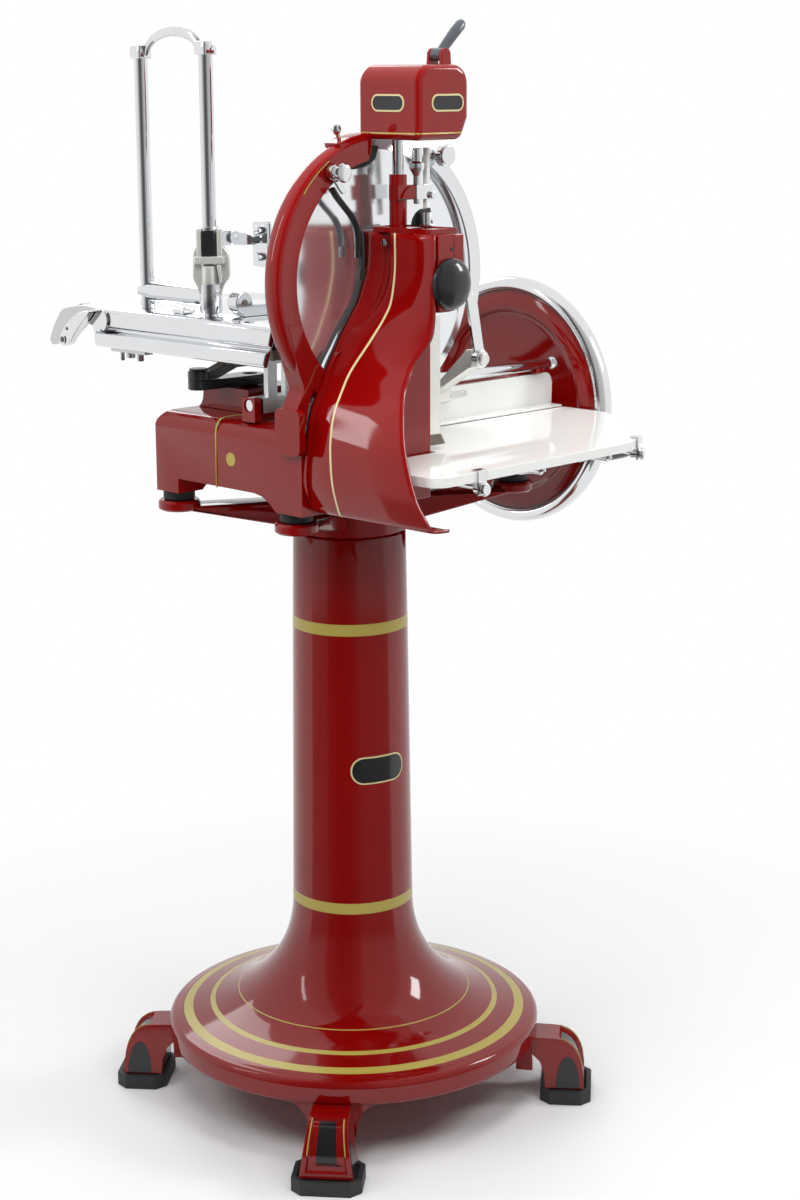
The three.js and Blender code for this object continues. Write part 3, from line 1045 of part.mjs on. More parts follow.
function sleevePart(minX, maxX, minUp, maxUp) {
  const body = join(
    prism('x', slab(rail.y - sleeve.halfY, rail.y + sleeve.halfY, sleeve.lowZ, sleeve.topZ, facets.edge), minX, maxX),
    block(minUp, maxUp, upright.minY, upright.maxY, sleeve.topZ - overrun, frame.lowZ - seat));
  return cut(body, bar('x', sleeve.bore, minX - overrun, maxX + overrun, rail.y, rail.z));
}

function makeCarriage() {
  const middle = (upright.minX + upright.maxX) / 2;
  const window = block(middle - upright.gapWidth / 2, middle + upright.gapWidth / 2, upright.minY - overrun,
    upright.maxY + overrun, sleeve.topZ, frame.lowZ - 2 * overrun);
  piece(carriage, 'carriage_bearing', 'steel',
    cut(sleevePart(sleeve.minX, sleeve.maxX, upright.minX, upright.maxX), window));
  const b = frame.border;
  const windows = [
    block(slideBar.x1 + 2 * frame.barHalf, screw.x - 2 * frame.barHalf, frame.minY + b, frame.maxY - b, frame.lowZ - overrun,
      frame.topZ + overrun),
    block(screw.x + 2 * frame.barHalf, slideBar.x2 - 2 * frame.barHalf, shaft.y + rod.eyeRadius * 2, frame.maxY - b,
      frame.lowZ - overrun, frame.topZ + overrun),
  ];
  const plate = cut(block(frame.minX, frame.maxX, frame.minY, frame.maxY, frame.lowZ, frame.topZ), ...windows);
  const bars = [slideBar.x1, slideBar.x2].map((x) => block(x - frame.barHalf, x + frame.barHalf, slideBar.minY,
    slideBar.maxY, frame.lowZ, slideBar.topZ));
  const wristX = crown.x - crank.radius + rod.length;
  const wristLow = rod.lowZ + rod.rise + rod.thick + seat;
  const wrist = bar('z', crank.pinRadius + lap, wristLow, frame.lowZ + lap, wristX, shaft.y);
  const rollerY = (rearRail.minY + rearRail.maxY) / 2;
  const rollerZ = rearRail.topZ + seat + roller.radius;
  const forkY = roller.thick / 2 + seat;
  const legs = [-1, 1].map((side) => block(roller.x - roller.legHalf, roller.x + roller.legHalf,
    rollerY + (side > 0 ? forkY : -forkY - roller.fork), rollerY + (side > 0 ? forkY + roller.fork : -forkY),
    rollerZ - roller.axleRadius * 2, frame.lowZ + lap));
  const axleHole = bar('y', roller.axleRadius + seat, rollerY - 2 * roller.thick, rollerY + 2 * roller.thick, roller.x,
    rollerZ);
  const lugs = [frame.minY, frame.maxY - frame.barHalf].map((y) => join(
    bar('y', screwWheel.lugRadius, y, y + frame.barHalf, screw.x, screw.z),
    block(screw.x - screwWheel.lugRadius, screw.x + screwWheel.lugRadius, y, y + frame.barHalf, frame.lowZ, screw.z)));
  const screwHole = bar('y', screw.radius + seat, frame.minY + nick, frame.maxY + overrun, screw.x, screw.z);
  const far = sleevePart(farSleeve.minX, farSleeve.maxX, farSleeve.minX, farSleeve.maxX);
  const farPost = block(farSleeve.minX, farSleeve.maxX, upright.minY, upright.maxY, sleeve.topZ, frame.topZ);
  piece(carriage, 'carriage_frame', 'steel',
    cut(join(plate, ...bars, wrist, ...legs, ...lugs, far, farPost), axleHole, screwHole));
  const wheelPart = turned('y', [
    [0, rollerY - forkY - roller.fork], [roller.axleRadius, rollerY - forkY - roller.fork],
    [roller.axleRadius, rollerY - roller.thick / 2], [roller.radius, rollerY - roller.thick / 2],
    [roller.radius, rollerY + roller.thick / 2], [roller.axleRadius, rollerY + roller.thick / 2],
    [roller.axleRadius, rollerY + forkY + roller.fork], [0, rollerY + forkY + roller.fork],
  ], roller.x, rollerZ, facets.medium);
  piece(carriage, 'rear_roller', 'steel', wheelPart);
}

function makeFeedScrew() {
  const threads = [];
  const start = frame.minY + nick + seat;
  threads.push([0, start], [screw.radius, start]);
  const from = screw.minY;
  const to = frame.maxY - 2 * frame.barHalf;
  for (let y = from; y < to; y += screw.pitch) {
    threads.push([screw.radius, y], [screw.radius - screw.groove, y + screw.pitch / 4]);
    threads.push([screw.radius - screw.groove, y + screw.pitch / 2], [screw.radius, y + 3 * screw.pitch / 4]);
  }
  threads.push([screw.radius, screw.maxY], [0, screw.maxY]);
  const wheelAt = frame.maxY + seat;
  const wheelPart = prism('y', gearOutline(screw.wheelRadius - screwWheel.tooth, screwWheel.tooth, screwWheel.teeth, 0),
    wheelAt, wheelAt + screw.wheelThick).translate(screw.x, 0, screw.z);
  piece(carriage, 'feed_screw', 'steel', join(turned('y', threads, screw.x, screw.z, facets.tiny), wheelPart));
}

const tableGroup = new THREE.Group();
carriage.add(tableGroup);

function makeTable() {
  const left = table.minX;
  const height = table.topZ - table.apronZ;
  const outline = polygon([
    [left + table.skin + table.groove, table.topZ], [left, table.topZ - table.groove],
    [left, table.topZ - height * tableShares.beadTop], [left + table.groove, table.topZ - height * tableShares.bead],
    [left, table.topZ - height * tableShares.beadLow], [left, table.apronZ + table.groove], [left + table.groove, table.apronZ],
    [left + table.skin + table.groove, table.apronZ], [left + table.skin + table.groove, table.topZ - table.plate],
    [table.maxX - table.skin, table.topZ - table.plate], [table.maxX - table.skin, tableForm.rightZ],
    [table.maxX, tableForm.rightZ], [table.maxX, table.topZ - table.groove], [table.maxX - table.groove, table.topZ],
  ]);
  const body = prism('y', outline, table.minY, table.maxY);
  const slant = prism('x', polygon([
    [table.minY - overrun, table.apronZ - overrun], [table.minY + tableForm.slant, table.apronZ - overrun],
    [table.minY - overrun, table.topZ - table.plate],
  ]), left - overrun, left + 2 * tableForm.slant);
  const runners = [slideBar.x1, slideBar.x2].map((x) => block(x - tableForm.runnerHalf, x + tableForm.runnerHalf,
    tableForm.runnerMinY, tableForm.runnerMaxY, slideBar.topZ + seat, table.topZ - nick));
  const ears = [endLever.minX - seat, endLever.maxX + seat].map((x, i) => {
    const from = i === 0 ? x - table.skin : x;
    return link('x', table.maxY - tableForm.ear, table.topZ - tableForm.ear, tableForm.ear - nick, endLever.y, endLever.z,
      tableForm.ear / 2, from, from + table.skin);
  });
  const bridge = block(endLever.minX - table.skin - seat, endLever.maxX + table.skin + seat, table.maxY - tableForm.ear,
    table.maxY, table.topZ - 2 * tableForm.ear, table.topZ - table.groove);
  const pinHole = bar('x', endLever.pin + seat, endLever.minX - 3 * table.skin, endLever.maxX + 3 * table.skin,
    endLever.y, endLever.z);
  piece(tableGroup, 'meat_table', 'chrome', cut(join(cut(body, slant), ...runners, bridge, ...ears), pinHole));
  const lever = join(
    link('x', endLever.y, endLever.z, endLever.radius, endLever.tipY, endLever.tipZ, endLever.tipRadius,
      endLever.minX, endLever.maxX, lap),
    bar('x', endLever.pin, endLever.minX - seat - table.skin, endLever.maxX + seat + table.skin, endLever.y, endLever.z));
  piece(tableGroup, 'table_end_lever', 'chrome', lever);
}

function makePosts() {
  const y1 = posts.y1;
  const y2 = posts.y2;
  const top = table.topZ + posts.height;
  const capZ = top - posts.capHeight;
  const parts = [];
  for (const y of [y1, y2]) {
    parts.push(bar('z', posts.radius, table.topZ + seat, top, posts.x, y));
    parts.push(block(posts.x - posts.capHalf, posts.x + posts.capHalf, y - posts.capHalf, y + posts.capHalf, capZ,
      top + lap));
  }
  const middle = (y1 + y2) / 2;
  const near = (middle - y1) * archShares.inset;
  const curve = new THREE.CatmullRomCurve3([
    new THREE.Vector3(posts.x, y1, capZ + posts.band),
    new THREE.Vector3(posts.x, y1 + near, top + posts.archRise * archShares.shoulder),
    new THREE.Vector3(posts.x, middle, top + posts.archRise * archShares.crown),
    new THREE.Vector3(posts.x, y2 - near, top + posts.archRise * archShares.shoulder),
    new THREE.Vector3(posts.x, y2, capZ + posts.band),
  ]);
  parts.push(swept(slab(-posts.band / 2, posts.band / 2, -posts.band, posts.band), curve, facets.small));
  piece(tableGroup, 'clamp_posts', 'chrome', join(...parts));
}

function makeClamp() {
  const upper = new THREE.Group();
  tableGroup.add(upper);
  const low = table.topZ + slider.lowRise;
  const top = low + slider.height;
  const barLow = table.topZ + slider.barRise;
  const sleeveBody = prism('z', slab(posts.x - slider.halfX, posts.x + slider.halfX, posts.y1 - slider.halfY,
    posts.y1 + slider.halfY, slider.halfX - lap), low, top);
  const crossBar = prism('y', slab(posts.x - slider.barHalfX, posts.x + slider.barHalfX, barLow,
    barLow + slider.barHeight, slider.round), posts.y1, posts.y2 + slider.barHalfX);
  const pivotZ = table.topZ + gripper.rise;
  const pivotEar = block(posts.x, gripperPlace.pivotX + gripper.boss, gripperPlace.y - gripperPlace.earHalf,
    gripperPlace.y + gripperPlace.earHalf, pivotZ - gripper.boss, pivotZ + gripper.boss);
  const bores = [posts.y1, posts.y2].map((y) => bar('z', slider.bore, low - overrun, top + overrun, posts.x, y));
  const latchLow = table.topZ + latch.rise;
  const latchFrom = posts.x - slider.halfX - latch.proud;
  const latchRoom = block(latchFrom - overrun, posts.x - slider.bore + lap, posts.y1 - latch.width / 2 - seat,
    posts.y1 + latch.width / 2 + seat, latchLow - seat, top + overrun);
  const earHole = bar('y', gripperPlace.pin + seat, gripperPlace.y - 2 * gripper.boss, gripperPlace.y + 2 * gripper.boss,
    gripperPlace.pivotX, pivotZ);
  piece(upper, 'clamp_slider', 'chrome', cut(join(sleeveBody, crossBar, pivotEar), ...bores, latchRoom, earHole));
  const latchBody = block(latchFrom, latchFrom + latch.thick, posts.y1 - latch.width / 2,
    posts.y1 + latch.width / 2, latchLow, latchLow + latch.height);
  piece(upper, 'clamp_latch', 'black', latchBody);
  const armZ = pivotZ - gripper.armDrop;
  const cheekFrom = gripperPlace.earHalf + seat;
  const reach = cheekFrom + gripper.cheek;
  const cheeks = [-1, 1].map((side) => {
    const from = gripperPlace.y + (side > 0 ? cheekFrom : -reach);
    return link('y', gripperPlace.pivotX, pivotZ, gripper.boss, gripperPlace.pivotX + gripper.armReachShare * gripper.boss,
      armZ, gripper.armRadius, from, from + gripper.cheek);
  });
  const armPart = [
    block(gripperPlace.pivotX + 2 * gripper.boss, gripPlate.minX + lap, gripperPlace.y - gripper.half,
      gripperPlace.y + gripper.half, armZ - gripper.armRadius, armZ + gripper.armRadius),
    bar('y', gripperPlace.pin, gripperPlace.y - reach, gripperPlace.y + reach, gripperPlace.pivotX, pivotZ),
    prism('x', slab(gripPlate.minY, gripPlate.maxY, pivotZ - gripPlate.drop, pivotZ + gripPlate.rise, gripPlate.corner),
      gripPlate.minX, gripPlate.minX + gripPlate.thick),
  ];
  piece(upper, 'gripper', 'chrome', join(...cheeks, ...armPart));
  const jawLow = table.topZ + seat;
  const noseZ = jawLow + jaw.noseRise;
  const jawBody = join(
    block(jaw.noseX, jaw.maxX, jaw.minY, jaw.maxY, jawLow, jawLow + jaw.barHeight),
    bar('y', jaw.nose, jaw.minY, jaw.maxY, jaw.noseX, noseZ, facets.medium));
  const eye = bar('y', jaw.nose / 3, jaw.minY - overrun, jaw.maxY + overrun, jaw.noseX, noseZ);
  piece(tableGroup, 'fixed_jaw', 'chrome', cut(jawBody, eye));
}

makeHandle(makeWheel());
makeCounterShaft();
makeKnife();
makeChain();
makeCrank();
makeCarriage();
makeFeedScrew();
makeTable();
makePosts();
makeClamp();

export default group;
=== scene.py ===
import json
import math
import bpy
import bmesh
from mathutils import Matrix, Vector


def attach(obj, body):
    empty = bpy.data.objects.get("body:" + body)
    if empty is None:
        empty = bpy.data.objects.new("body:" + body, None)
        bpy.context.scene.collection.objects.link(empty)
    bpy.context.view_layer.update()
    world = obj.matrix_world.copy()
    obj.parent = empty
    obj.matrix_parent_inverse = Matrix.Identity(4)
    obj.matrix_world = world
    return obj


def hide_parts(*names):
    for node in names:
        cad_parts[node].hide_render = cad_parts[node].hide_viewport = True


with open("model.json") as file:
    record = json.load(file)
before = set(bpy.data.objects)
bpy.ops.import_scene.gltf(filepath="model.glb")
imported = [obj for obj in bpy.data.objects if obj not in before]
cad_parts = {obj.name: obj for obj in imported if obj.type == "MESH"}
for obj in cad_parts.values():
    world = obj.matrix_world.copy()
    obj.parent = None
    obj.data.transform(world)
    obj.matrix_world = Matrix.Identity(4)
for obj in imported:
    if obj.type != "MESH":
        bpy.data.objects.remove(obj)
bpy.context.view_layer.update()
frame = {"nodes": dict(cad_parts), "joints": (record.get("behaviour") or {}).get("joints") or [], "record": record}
cadNodes = frame["nodes"]
scene = bpy.context.scene

# Shapes are drawn in millimetres from the middle of the column's foot. The flywheel's axle lies
# at this y and z, and the knife's axle at this x and z
mm = 0.001
axleAt, knifeAt = (49, 951), (-85, 1174)
axlePlace = next(j["pos_m"] for j in frame["joints"] if j["name"] == "flywheel_spin")
columnAt = Vector((axlePlace[0], axlePlace[1] - axleAt[0] * mm, 0))


def placed(name, data):
    item = bpy.data.objects.new(name, data)
    scene.collection.objects.link(item)
    return item


def meshFrom(name, bm):
    mesh = bpy.data.meshes.new(name)
    bm.to_mesh(mesh)
    bm.free()
    return mesh


def setSockets(node, values):
    for key, value in values.items():
        node.inputs[key].default_value = value
    return node


def addNode(tree, kind, values=None, **settings):
    node = tree.nodes.new("ShaderNode" + kind)
    for key, value in settings.items():
        setattr(node, key, value)
    return setSockets(node, values or {})


def wire(tree, *links):
    for source, output, target, socket in links:
        tree.links.new(source.outputs[output], target.inputs[socket])


def newMaterial(name):
    material = bpy.data.materials.new(name)
    material.use_nodes = True
    return material, material.node_tree


# Where a point of the surface lies, seen from the column's foot
def fromColumn(tree):
    shift = addNode(tree, "VectorMath", operation="SUBTRACT")
    shift.inputs[1].default_value = columnAt
    wire(tree, (addNode(tree, "TexCoord"), "Object", shift, 0))
    return shift


# Points on a part of a circle, or of an ellipse when the other radius is given
def arc(a, b, radius, start, end, steps, other=None):
    turns = [math.radians(start + (end - start) * i / steps) for i in range(steps + 1)]
    return [(a + radius * math.cos(t), b + (radius if other is None else other) * math.sin(t)) for t in turns]


# The camera stands where the photograph was taken
view = {
    "place": (-2.09047, -2.17344, 1.43119),
    "right": (0.70404, -0.71015, -0.00422),
    "up": (0.16622, 0.15901, 0.97318),
    "back": (-0.69043, -0.68586, 0.22999),
    "lens": 67.56,
}
cameraData = bpy.data.cameras.new("photoCamera")
cameraData.lens = view["lens"]
camera = placed("photoCamera", cameraData)
turn = Matrix((view["right"], view["up"], view["back"])).transposed()
camera.matrix_world = Matrix.Translation(columnAt + Vector(view["place"])) @ turn.to_4x4()
scene.camera = camera
scene.view_settings.view_transform = "Standard"

# Place, aim, size and power, and whether the lamp shows in reflections
lamps = {
    "keyLamp": ((-1.3, -0.9, 2.2), (0, 0, 1.15), (0.7, 0.9), 17, False),
    "rightBox": ((2.0, -1.5, 2.2), (0, 0, 1.0), (0.5, 0.9), 20, True),
    "frontLamp": ((-0.2, -1.8, 2.3), (0.1, 0, 1.1), (1.0, 0.8), 12, False),
    "leftLamp": ((-1.7, 0.3, 1.9), (0, 0, 1.1), (1.0, 0.8), 11, False),
    "leftStrip": ((-1.7, 1.2, 2.1), (0, 0, 1.2), (0.16, 1.1), 3.2, True),
    "rearLamp": ((0.8, 2.4, 2.4), (0, 0, 0.9), (1.8, 1.4), 22, True),
    "topLamp": ((0.1, -0.3, 2.9), (0, 0, 0.9), (1.6, 1.6), 32, False),
}
for name, (at, aim, size, power, shows) in lamps.items():
    data = bpy.data.lights.new(name, "AREA")
    data.shape = "RECTANGLE"
    data.size, data.size_y = size
    data.energy = power
    item = placed(name, data)
    item.location = columnAt + Vector(at)
    item.visible_glossy = shows
    item.rotation_mode = "QUATERNION"
    item.rotation_quaternion = (Vector(aim) - Vector(at)).to_track_quat("-Z", "Y")

# The background is white for the camera and in reflections, and lights the scene only a little
world = bpy.data.worlds.new("studio")
scene.world = world
world.use_nodes = True
sky = world.node_tree
sky.nodes.clear()
rays = addNode(sky, "LightPath")
seen = addNode(sky, "Math", operation="MAXIMUM")
seenToo = addNode(sky, "Math", operation="MAXIMUM")
pale = addNode(sky, "Background", {"Color": (1, 1, 1, 1)})
ambient = addNode(sky, "Background", {"Color": (0.96, 0.98, 1, 1), "Strength": 0.2})
either = addNode(sky, "MixShader")
wire(sky, (rays, "Is Camera Ray", seen, 0), (rays, "Is Glossy Ray", seen, 1), (seen, 0, seenToo, 0),
     (rays, "Is Transmission Ray", seenToo, 1), (seenToo, 0, either, "Fac"), (ambient, 0, either, 1),
     (pale, 0, either, 2), (either, 0, addNode(sky, "OutputWorld"), "Surface"))

# The floor takes shadows near the stand and turns white farther out
floorLook = {"half": 9, "colour": (0.93, 0.93, 0.93, 1), "rough": 0.6, "shine": 0.2, "clearFrom": 0.3, "clearTo": 1.3}
floorBm = bmesh.new()
bmesh.ops.create_grid(floorBm, x_segments=8, y_segments=8, size=floorLook["half"])
bmesh.ops.translate(floorBm, verts=floorBm.verts, vec=columnAt)
floor = placed("studioFloor", meshFrom("studioFloor", floorBm))
floorMaterial, ground = newMaterial("paleFloor")
paper = setSockets(ground.nodes["Principled BSDF"], {
    "Base Color": floorLook["colour"], "Roughness": floorLook["rough"], "Specular IOR Level": floorLook["shine"]})
groundRays = addNode(ground, "LightPath")
groundFar = addNode(ground, "VectorMath", operation="LENGTH")
fade = addNode(ground, "MapRange", {"From Min": floorLook["clearFrom"], "From Max": floorLook["clearTo"]})
glow = addNode(ground, "Emission")
groundSeen = addNode(ground, "Math", operation="MAXIMUM")
groundShare = addNode(ground, "Math", operation="MULTIPLY")
groundMix = addNode(ground, "MixShader")
wire(ground, (fromColumn(ground), "Vector", groundFar, 0), (groundFar, "Value", fade, "Value"),
     (groundRays, "Is Camera Ray", groundSeen, 0),
     (groundRays, "Is Glossy Ray", groundSeen, 1), (groundSeen, 0, groundShare, 0), (fade, "Result", groundShare, 1),
     (groundShare, 0, groundMix, "Fac"), (paper, 0, groundMix, 1), (glow, 0, groundMix, 2),
     (groundMix, 0, ground.nodes["Material Output"], "Surface"))
floor.data.materials.append(floorMaterial)

# A toned screen stands round the camera's side and only shows in polished surfaces. Its tones go
# from its left end to its right end, by the angle off the camera in degrees
screen = {"radius": 2.9, "height": 2.3, "round": 0.9, "from": -80, "to": 80, "facing": 225.2, "bright": 0.7,
          "lowest": 0.45, "inner": 0.75, "foot": 0.01, "hole": 0.35, "steps": 40,
          "tones": ((-80, 0.85), (-52, 0.62), (-38, 0.2), (-20, 0.1), (-4, 0.12), (8, 0.22), (22, 0.5), (66, 0.6),
                    (80, 0.9))}
screenBm = bmesh.new()
screenPath = [(screen["inner"], screen["foot"]), (screen["radius"], screen["foot"]),
              (screen["radius"], screen["height"]),
              *arc(screen["radius"] - screen["round"], screen["height"], screen["round"], 15, 90, 5),
              (screen["hole"], screen["height"] + screen["round"])]
screenRow = [screenBm.verts.new(columnAt + Vector((out, 0, up))) for out, up in screenPath]
screenEdges = [screenBm.edges.new(pair) for pair in zip(screenRow, screenRow[1:])]
bmesh.ops.rotate(screenBm, verts=screenBm.verts, cent=columnAt,
                 matrix=Matrix.Rotation(math.radians(screen["facing"] + screen["from"]), 3, "Z"))
bmesh.ops.spin(screenBm, geom=screenRow + screenEdges, cent=columnAt, axis=(0, 0, 1),
               angle=math.radians(screen["to"] - screen["from"]), steps=screen["steps"])
tonedScreen = placed("tonedScreen", meshFrom("tonedScreen", screenBm))
tonedPaper, toned = newMaterial("tonedPaper")
toned.nodes.remove(toned.nodes["Principled BSDF"])
tonedTurn = addNode(toned, "VectorRotate", {"Angle": math.radians(-screen["facing"])}, rotation_type="Z_AXIS")
tonedSplit = addNode(toned, "SeparateXYZ")
tonedAngle = addNode(toned, "Math", operation="ARCTAN2")
tonedSpan = addNode(toned, "MapRange", {
    "From Min": math.radians(screen["from"]), "From Max": math.radians(screen["to"])})
tones = addNode(toned, "ValToRGB")
tones.color_ramp.interpolation = "EASE"
while len(tones.color_ramp.elements) < len(screen["tones"]):
    tones.color_ramp.elements.new(0.5)
for element, (angle, tone) in zip(tones.color_ramp.elements, screen["tones"]):
    element.position = (angle - screen["from"]) / (screen["to"] - screen["from"])
    element.color = (tone, tone, tone, 1)
tonedRise = addNode(toned, "MapRange", {"From Max": screen["bright"], "To Min": screen["lowest"]})
tonedGlow = addNode(toned, "Emission")
tonedRays = addNode(toned, "LightPath")
clear = addNode(toned, "BsdfTransparent")
tonedMix = addNode(toned, "MixShader")
wire(toned, (fromColumn(toned), "Vector", tonedTurn, "Vector"),
     (tonedTurn, "Vector", tonedSplit, "Vector"), (tonedSplit, "Y", tonedAngle, 0), (tonedSplit, "X", tonedAngle, 1),
     (tonedAngle, "Value", tonedSpan, "Value"), (tonedSpan, "Result", tones, "Fac"),
     (tones, "Color", tonedGlow, "Color"), (tonedSplit, "Z", tonedRise, "Value"),
     (tonedRise, "Result", tonedGlow, "Strength"), (tonedRays, "Is Glossy Ray", tonedMix, "Fac"),
     (clear, 0, tonedMix, 1), (tonedGlow, 0, tonedMix, 2), (tonedMix, 0, toned.nodes["Material Output"], "Surface"))
tonedScreen.data.materials.append(tonedPaper)
print("camera, lamps and floor are in place")


def paintLook(name, colour, second, metal, rough, grain, bumps):
    material, tree = newMaterial(name)
    shader = setSockets(tree.nodes["Principled BSDF"], {"Metallic": metal})
    at = addNode(tree, "TexCoord")
    broad = addNode(tree, "TexNoise", {"Scale": 9, "Detail": 3})
    tone = addNode(tree, "Mix", {"A": (*colour, 1), "B": (*second, 1)}, data_type="RGBA")
    fine = addNode(tree, "TexNoise", {"Scale": grain, "Detail": 4})
    gloss = addNode(tree, "MapRange", {"To Min": rough[0], "To Max": rough[1]})
    bump = addNode(tree, "Bump", {"Strength": bumps, "Distance": 0.2 * mm})
    wire(tree, (at, "Object", broad, "Vector"), (at, "Object", fine, "Vector"), (broad, "Fac", tone, "Factor"),
         (tone, "Result", shader, "Base Color"), (broad, "Fac", gloss, "Value"), (gloss, "Result", shader, "Roughness"),
         (fine, "Fac", bump, "Height"), (bump, "Normal", shader, "Normal"))
    return material


# Two colours, metal, least and most roughness, grain and bumps
looks = {
    "redEnamel": ((0.2, 0.0014, 0.0011), (0.225, 0.0019, 0.0014), 0, (0.05, 0.09), 160, 0.015),
    "creamEnamel": ((0.86, 0.87, 0.84), (0.88, 0.885, 0.86), 0, (0.03, 0.06), 180, 0.02),
    "blackPlastic": ((0.01, 0.011, 0.012), (0.016, 0.016, 0.018), 0, (0.1, 0.16), 240, 0.05),
    "polishedChrome": ((0.72, 0.73, 0.75), (0.78, 0.79, 0.8), 1, (0.05, 0.1), 90, 0.03),
    "satinSteel": ((0.56, 0.56, 0.56), (0.66, 0.66, 0.66), 1, (0.22, 0.34), 300, 0.12),
    "bladeSteel": ((0.8, 0.82, 0.84), (0.86, 0.87, 0.89), 0.9, (0.09, 0.14), 60, 0.02),
    "paleMetal": ((0.74, 0.73, 0.68), (0.8, 0.79, 0.75), 0.55, (0.2, 0.3), 260, 0.08),
    "paleGold": ((0.62, 0.53, 0.27), (0.68, 0.59, 0.32), 0, (0.25, 0.35), 200, 0.03),
    "oiledGear": ((0.12, 0.1, 0.08), (0.22, 0.19, 0.15), 1, (0.3, 0.5), 260, 0.25),
    "greyGrip": ((0.06, 0.068, 0.078), (0.075, 0.083, 0.094), 0, (0.16, 0.24), 240, 0.05),
    "mattRubber": ((0.018, 0.019, 0.02), (0.03, 0.031, 0.032), 0, (0.55, 0.75), 420, 0.3),
    "goldLine": ((0.4, 0.32, 0.058), (0.45, 0.36, 0.078), 0, (0.25, 0.35), 200, 0.03),
}
finish = {name: paintLook(name, *look) for name, look in looks.items()}
slotFinish = {"red": "redEnamel", "cream": "creamEnamel", "black": "blackPlastic", "chrome": "polishedChrome",
              "steel": "satinSteel", "gear": "oiledGear", "rubber": "mattRubber"}
nodeSlot = {part["node"]: part["material_slot"] for part in frame["record"]["subparts"]}
bodyOf = {n: body for body, names in frame["record"]["behaviour"]["bodies"].items() for n in names}
for name, item in cadNodes.items():
    item.data.materials.clear()
    item.data.materials.append(finish[slotFinish[nodeSlot[name]]])
print("finishes are made")


def spot(x, y, z):
    return columnAt + Vector((x, y, z)) * mm


def onDrawing(point):
    return (point - columnAt) * 1000


def middle(face):
    return onDrawing(face.calc_center_median())


def along(axis, a, b, w):
    return {"x": (w, a, b), "y": (a, w, b), "z": (a, b, w)}[axis]


# A profile of radius and place along the axis, turned round it
def turned(profile, axis, centre=(0, 0), steps=64, start=0, sweep=360):
    bm = bmesh.new()
    a, b = centre
    c, s = math.cos(math.radians(start)), math.sin(math.radians(start))
    row = [bm.verts.new(spot(*along(axis, a + r * c, b + r * s, w))) for r, w in profile]
    for one, two in zip(row, row[1:]):
        bm.edges.new((one, two))
    way = Vector(along(axis, 0, 0, -1 if axis == "y" else 1))
    bmesh.ops.spin(bm, geom=bm.verts[:] + bm.edges[:], cent=spot(*along(axis, a, b, 0)), axis=way,
                   angle=math.radians(sweep), steps=steps, use_merge=sweep == 360, use_duplicate=False)
    bmesh.ops.remove_doubles(bm, verts=bm.verts, dist=2e-6)
    if sweep < 360:
        bmesh.ops.holes_fill(bm, edges=[e for e in bm.edges if e.is_boundary], sides=0)
    bmesh.ops.recalc_face_normals(bm, faces=bm.faces)
    return bm


# A turned piece with flat ends that close on its axis
def peg(profile, axis, centre, steps):
    return turned([(0, profile[0][1]), *profile, (0, profile[-1][1])], axis, centre, steps)


# An outline across the axis, drawn out along it
def drawn(outline, axis, low, high):
    bm = bmesh.new()
    face = bm.faces.new([bm.verts.new(spot(*along(axis, a, b, low))) for a, b in outline])
    far = bmesh.ops.extrude_face_region(bm, geom=[face])["geom"]
    lift = Vector(along(axis, 0, 0, (high - low) * mm))
    bmesh.ops.translate(bm, verts=[v for v in far if isinstance(v, bmesh.types.BMVert)], vec=lift)
    bmesh.ops.recalc_face_normals(bm, faces=bm.faces)
    return bm


def block(x1, x2, y1, y2, z1, z2):
    return drawn([(x1, y1), (x2, y1), (x2, y2), (x1, y2)], "z", z1, z2)


def slabOutline(a1, a2, b1, b2, radius, steps=6):
    left, right, low, high = a1 + radius, a2 - radius, b1 + radius, b2 - radius
    corners = ((right, low), (right, high), (left, high), (left, low))
    return [p for i, corner in enumerate(corners) for p in arc(*corner, radius, 90 * i - 90, 90 * i, steps)]


# A bar along a path: each place has its half width and half height
def bent(path, halves, sides=16):
    bm = bmesh.new()
    places = [spot(*p) for p in path]
    rings = []
    for i, at in enumerate(places):
        ahead = places[min(i + 1, len(places) - 1)] - places[max(i - 1, 0)]
        wide, high = halves[i] if isinstance(halves, list) else halves
        frameAt = Matrix.Translation(at) @ ahead.to_track_quat("Z", "Y").to_matrix().to_4x4()
        size = Matrix.Diagonal((wide * mm, high * mm, 1, 1))
        ring = bmesh.ops.create_circle(bm, radius=1, segments=sides, matrix=frameAt @ size)["verts"]
        rings.append(list({e for v in ring for e in v.link_edges}))
    for one, two in zip(rings, rings[1:]):
        bmesh.ops.bridge_loops(bm, edges=one + two)
    bmesh.ops.holes_fill(bm, edges=[e for e in bm.edges if e.is_boundary], sides=0)
    bmesh.ops.recalc_face_normals(bm, faces=bm.faces)
    return bm


# A smooth path through the given points
def smooth(points, steps=6):
    ends = [points[0], *points, points[-1]]
    out = []
    for p0, p1, p2, p3 in zip(ends, ends[1:], ends[2:], ends[3:]):
        for k in range(steps):
            t = k / steps
            out.append(tuple(0.5 * (2 * b + (c - a) * t + (2 * a - 5 * b + 4 * c - d) * t * t
                                    + (3 * b - a - 3 * c + d) * t ** 3) for a, b, c, d in zip(p0, p1, p2, p3)))
    return out + [tuple(points[-1])]


# A curve from the first point to the last that the points between them pull aside
def pulled(points, steps):
    out = []
    for i in range(steps + 1):
        row = points
        while len(row) > 1:
            row = [tuple(a + (b - a) * i / steps for a, b in zip(*pair)) for pair in zip(row, row[1:])]
        out.append(row[0])
    return out


# Reads a table of falling heights, in straight lines from row to row
def between(table, z):
    for (z1, y1), (z2, y2) in zip(table, table[1:]):
        if z2 <= z <= z1:
            return y1 + (z1 - z) / (z1 - z2) * (y2 - y1)
    return table[-1][1]


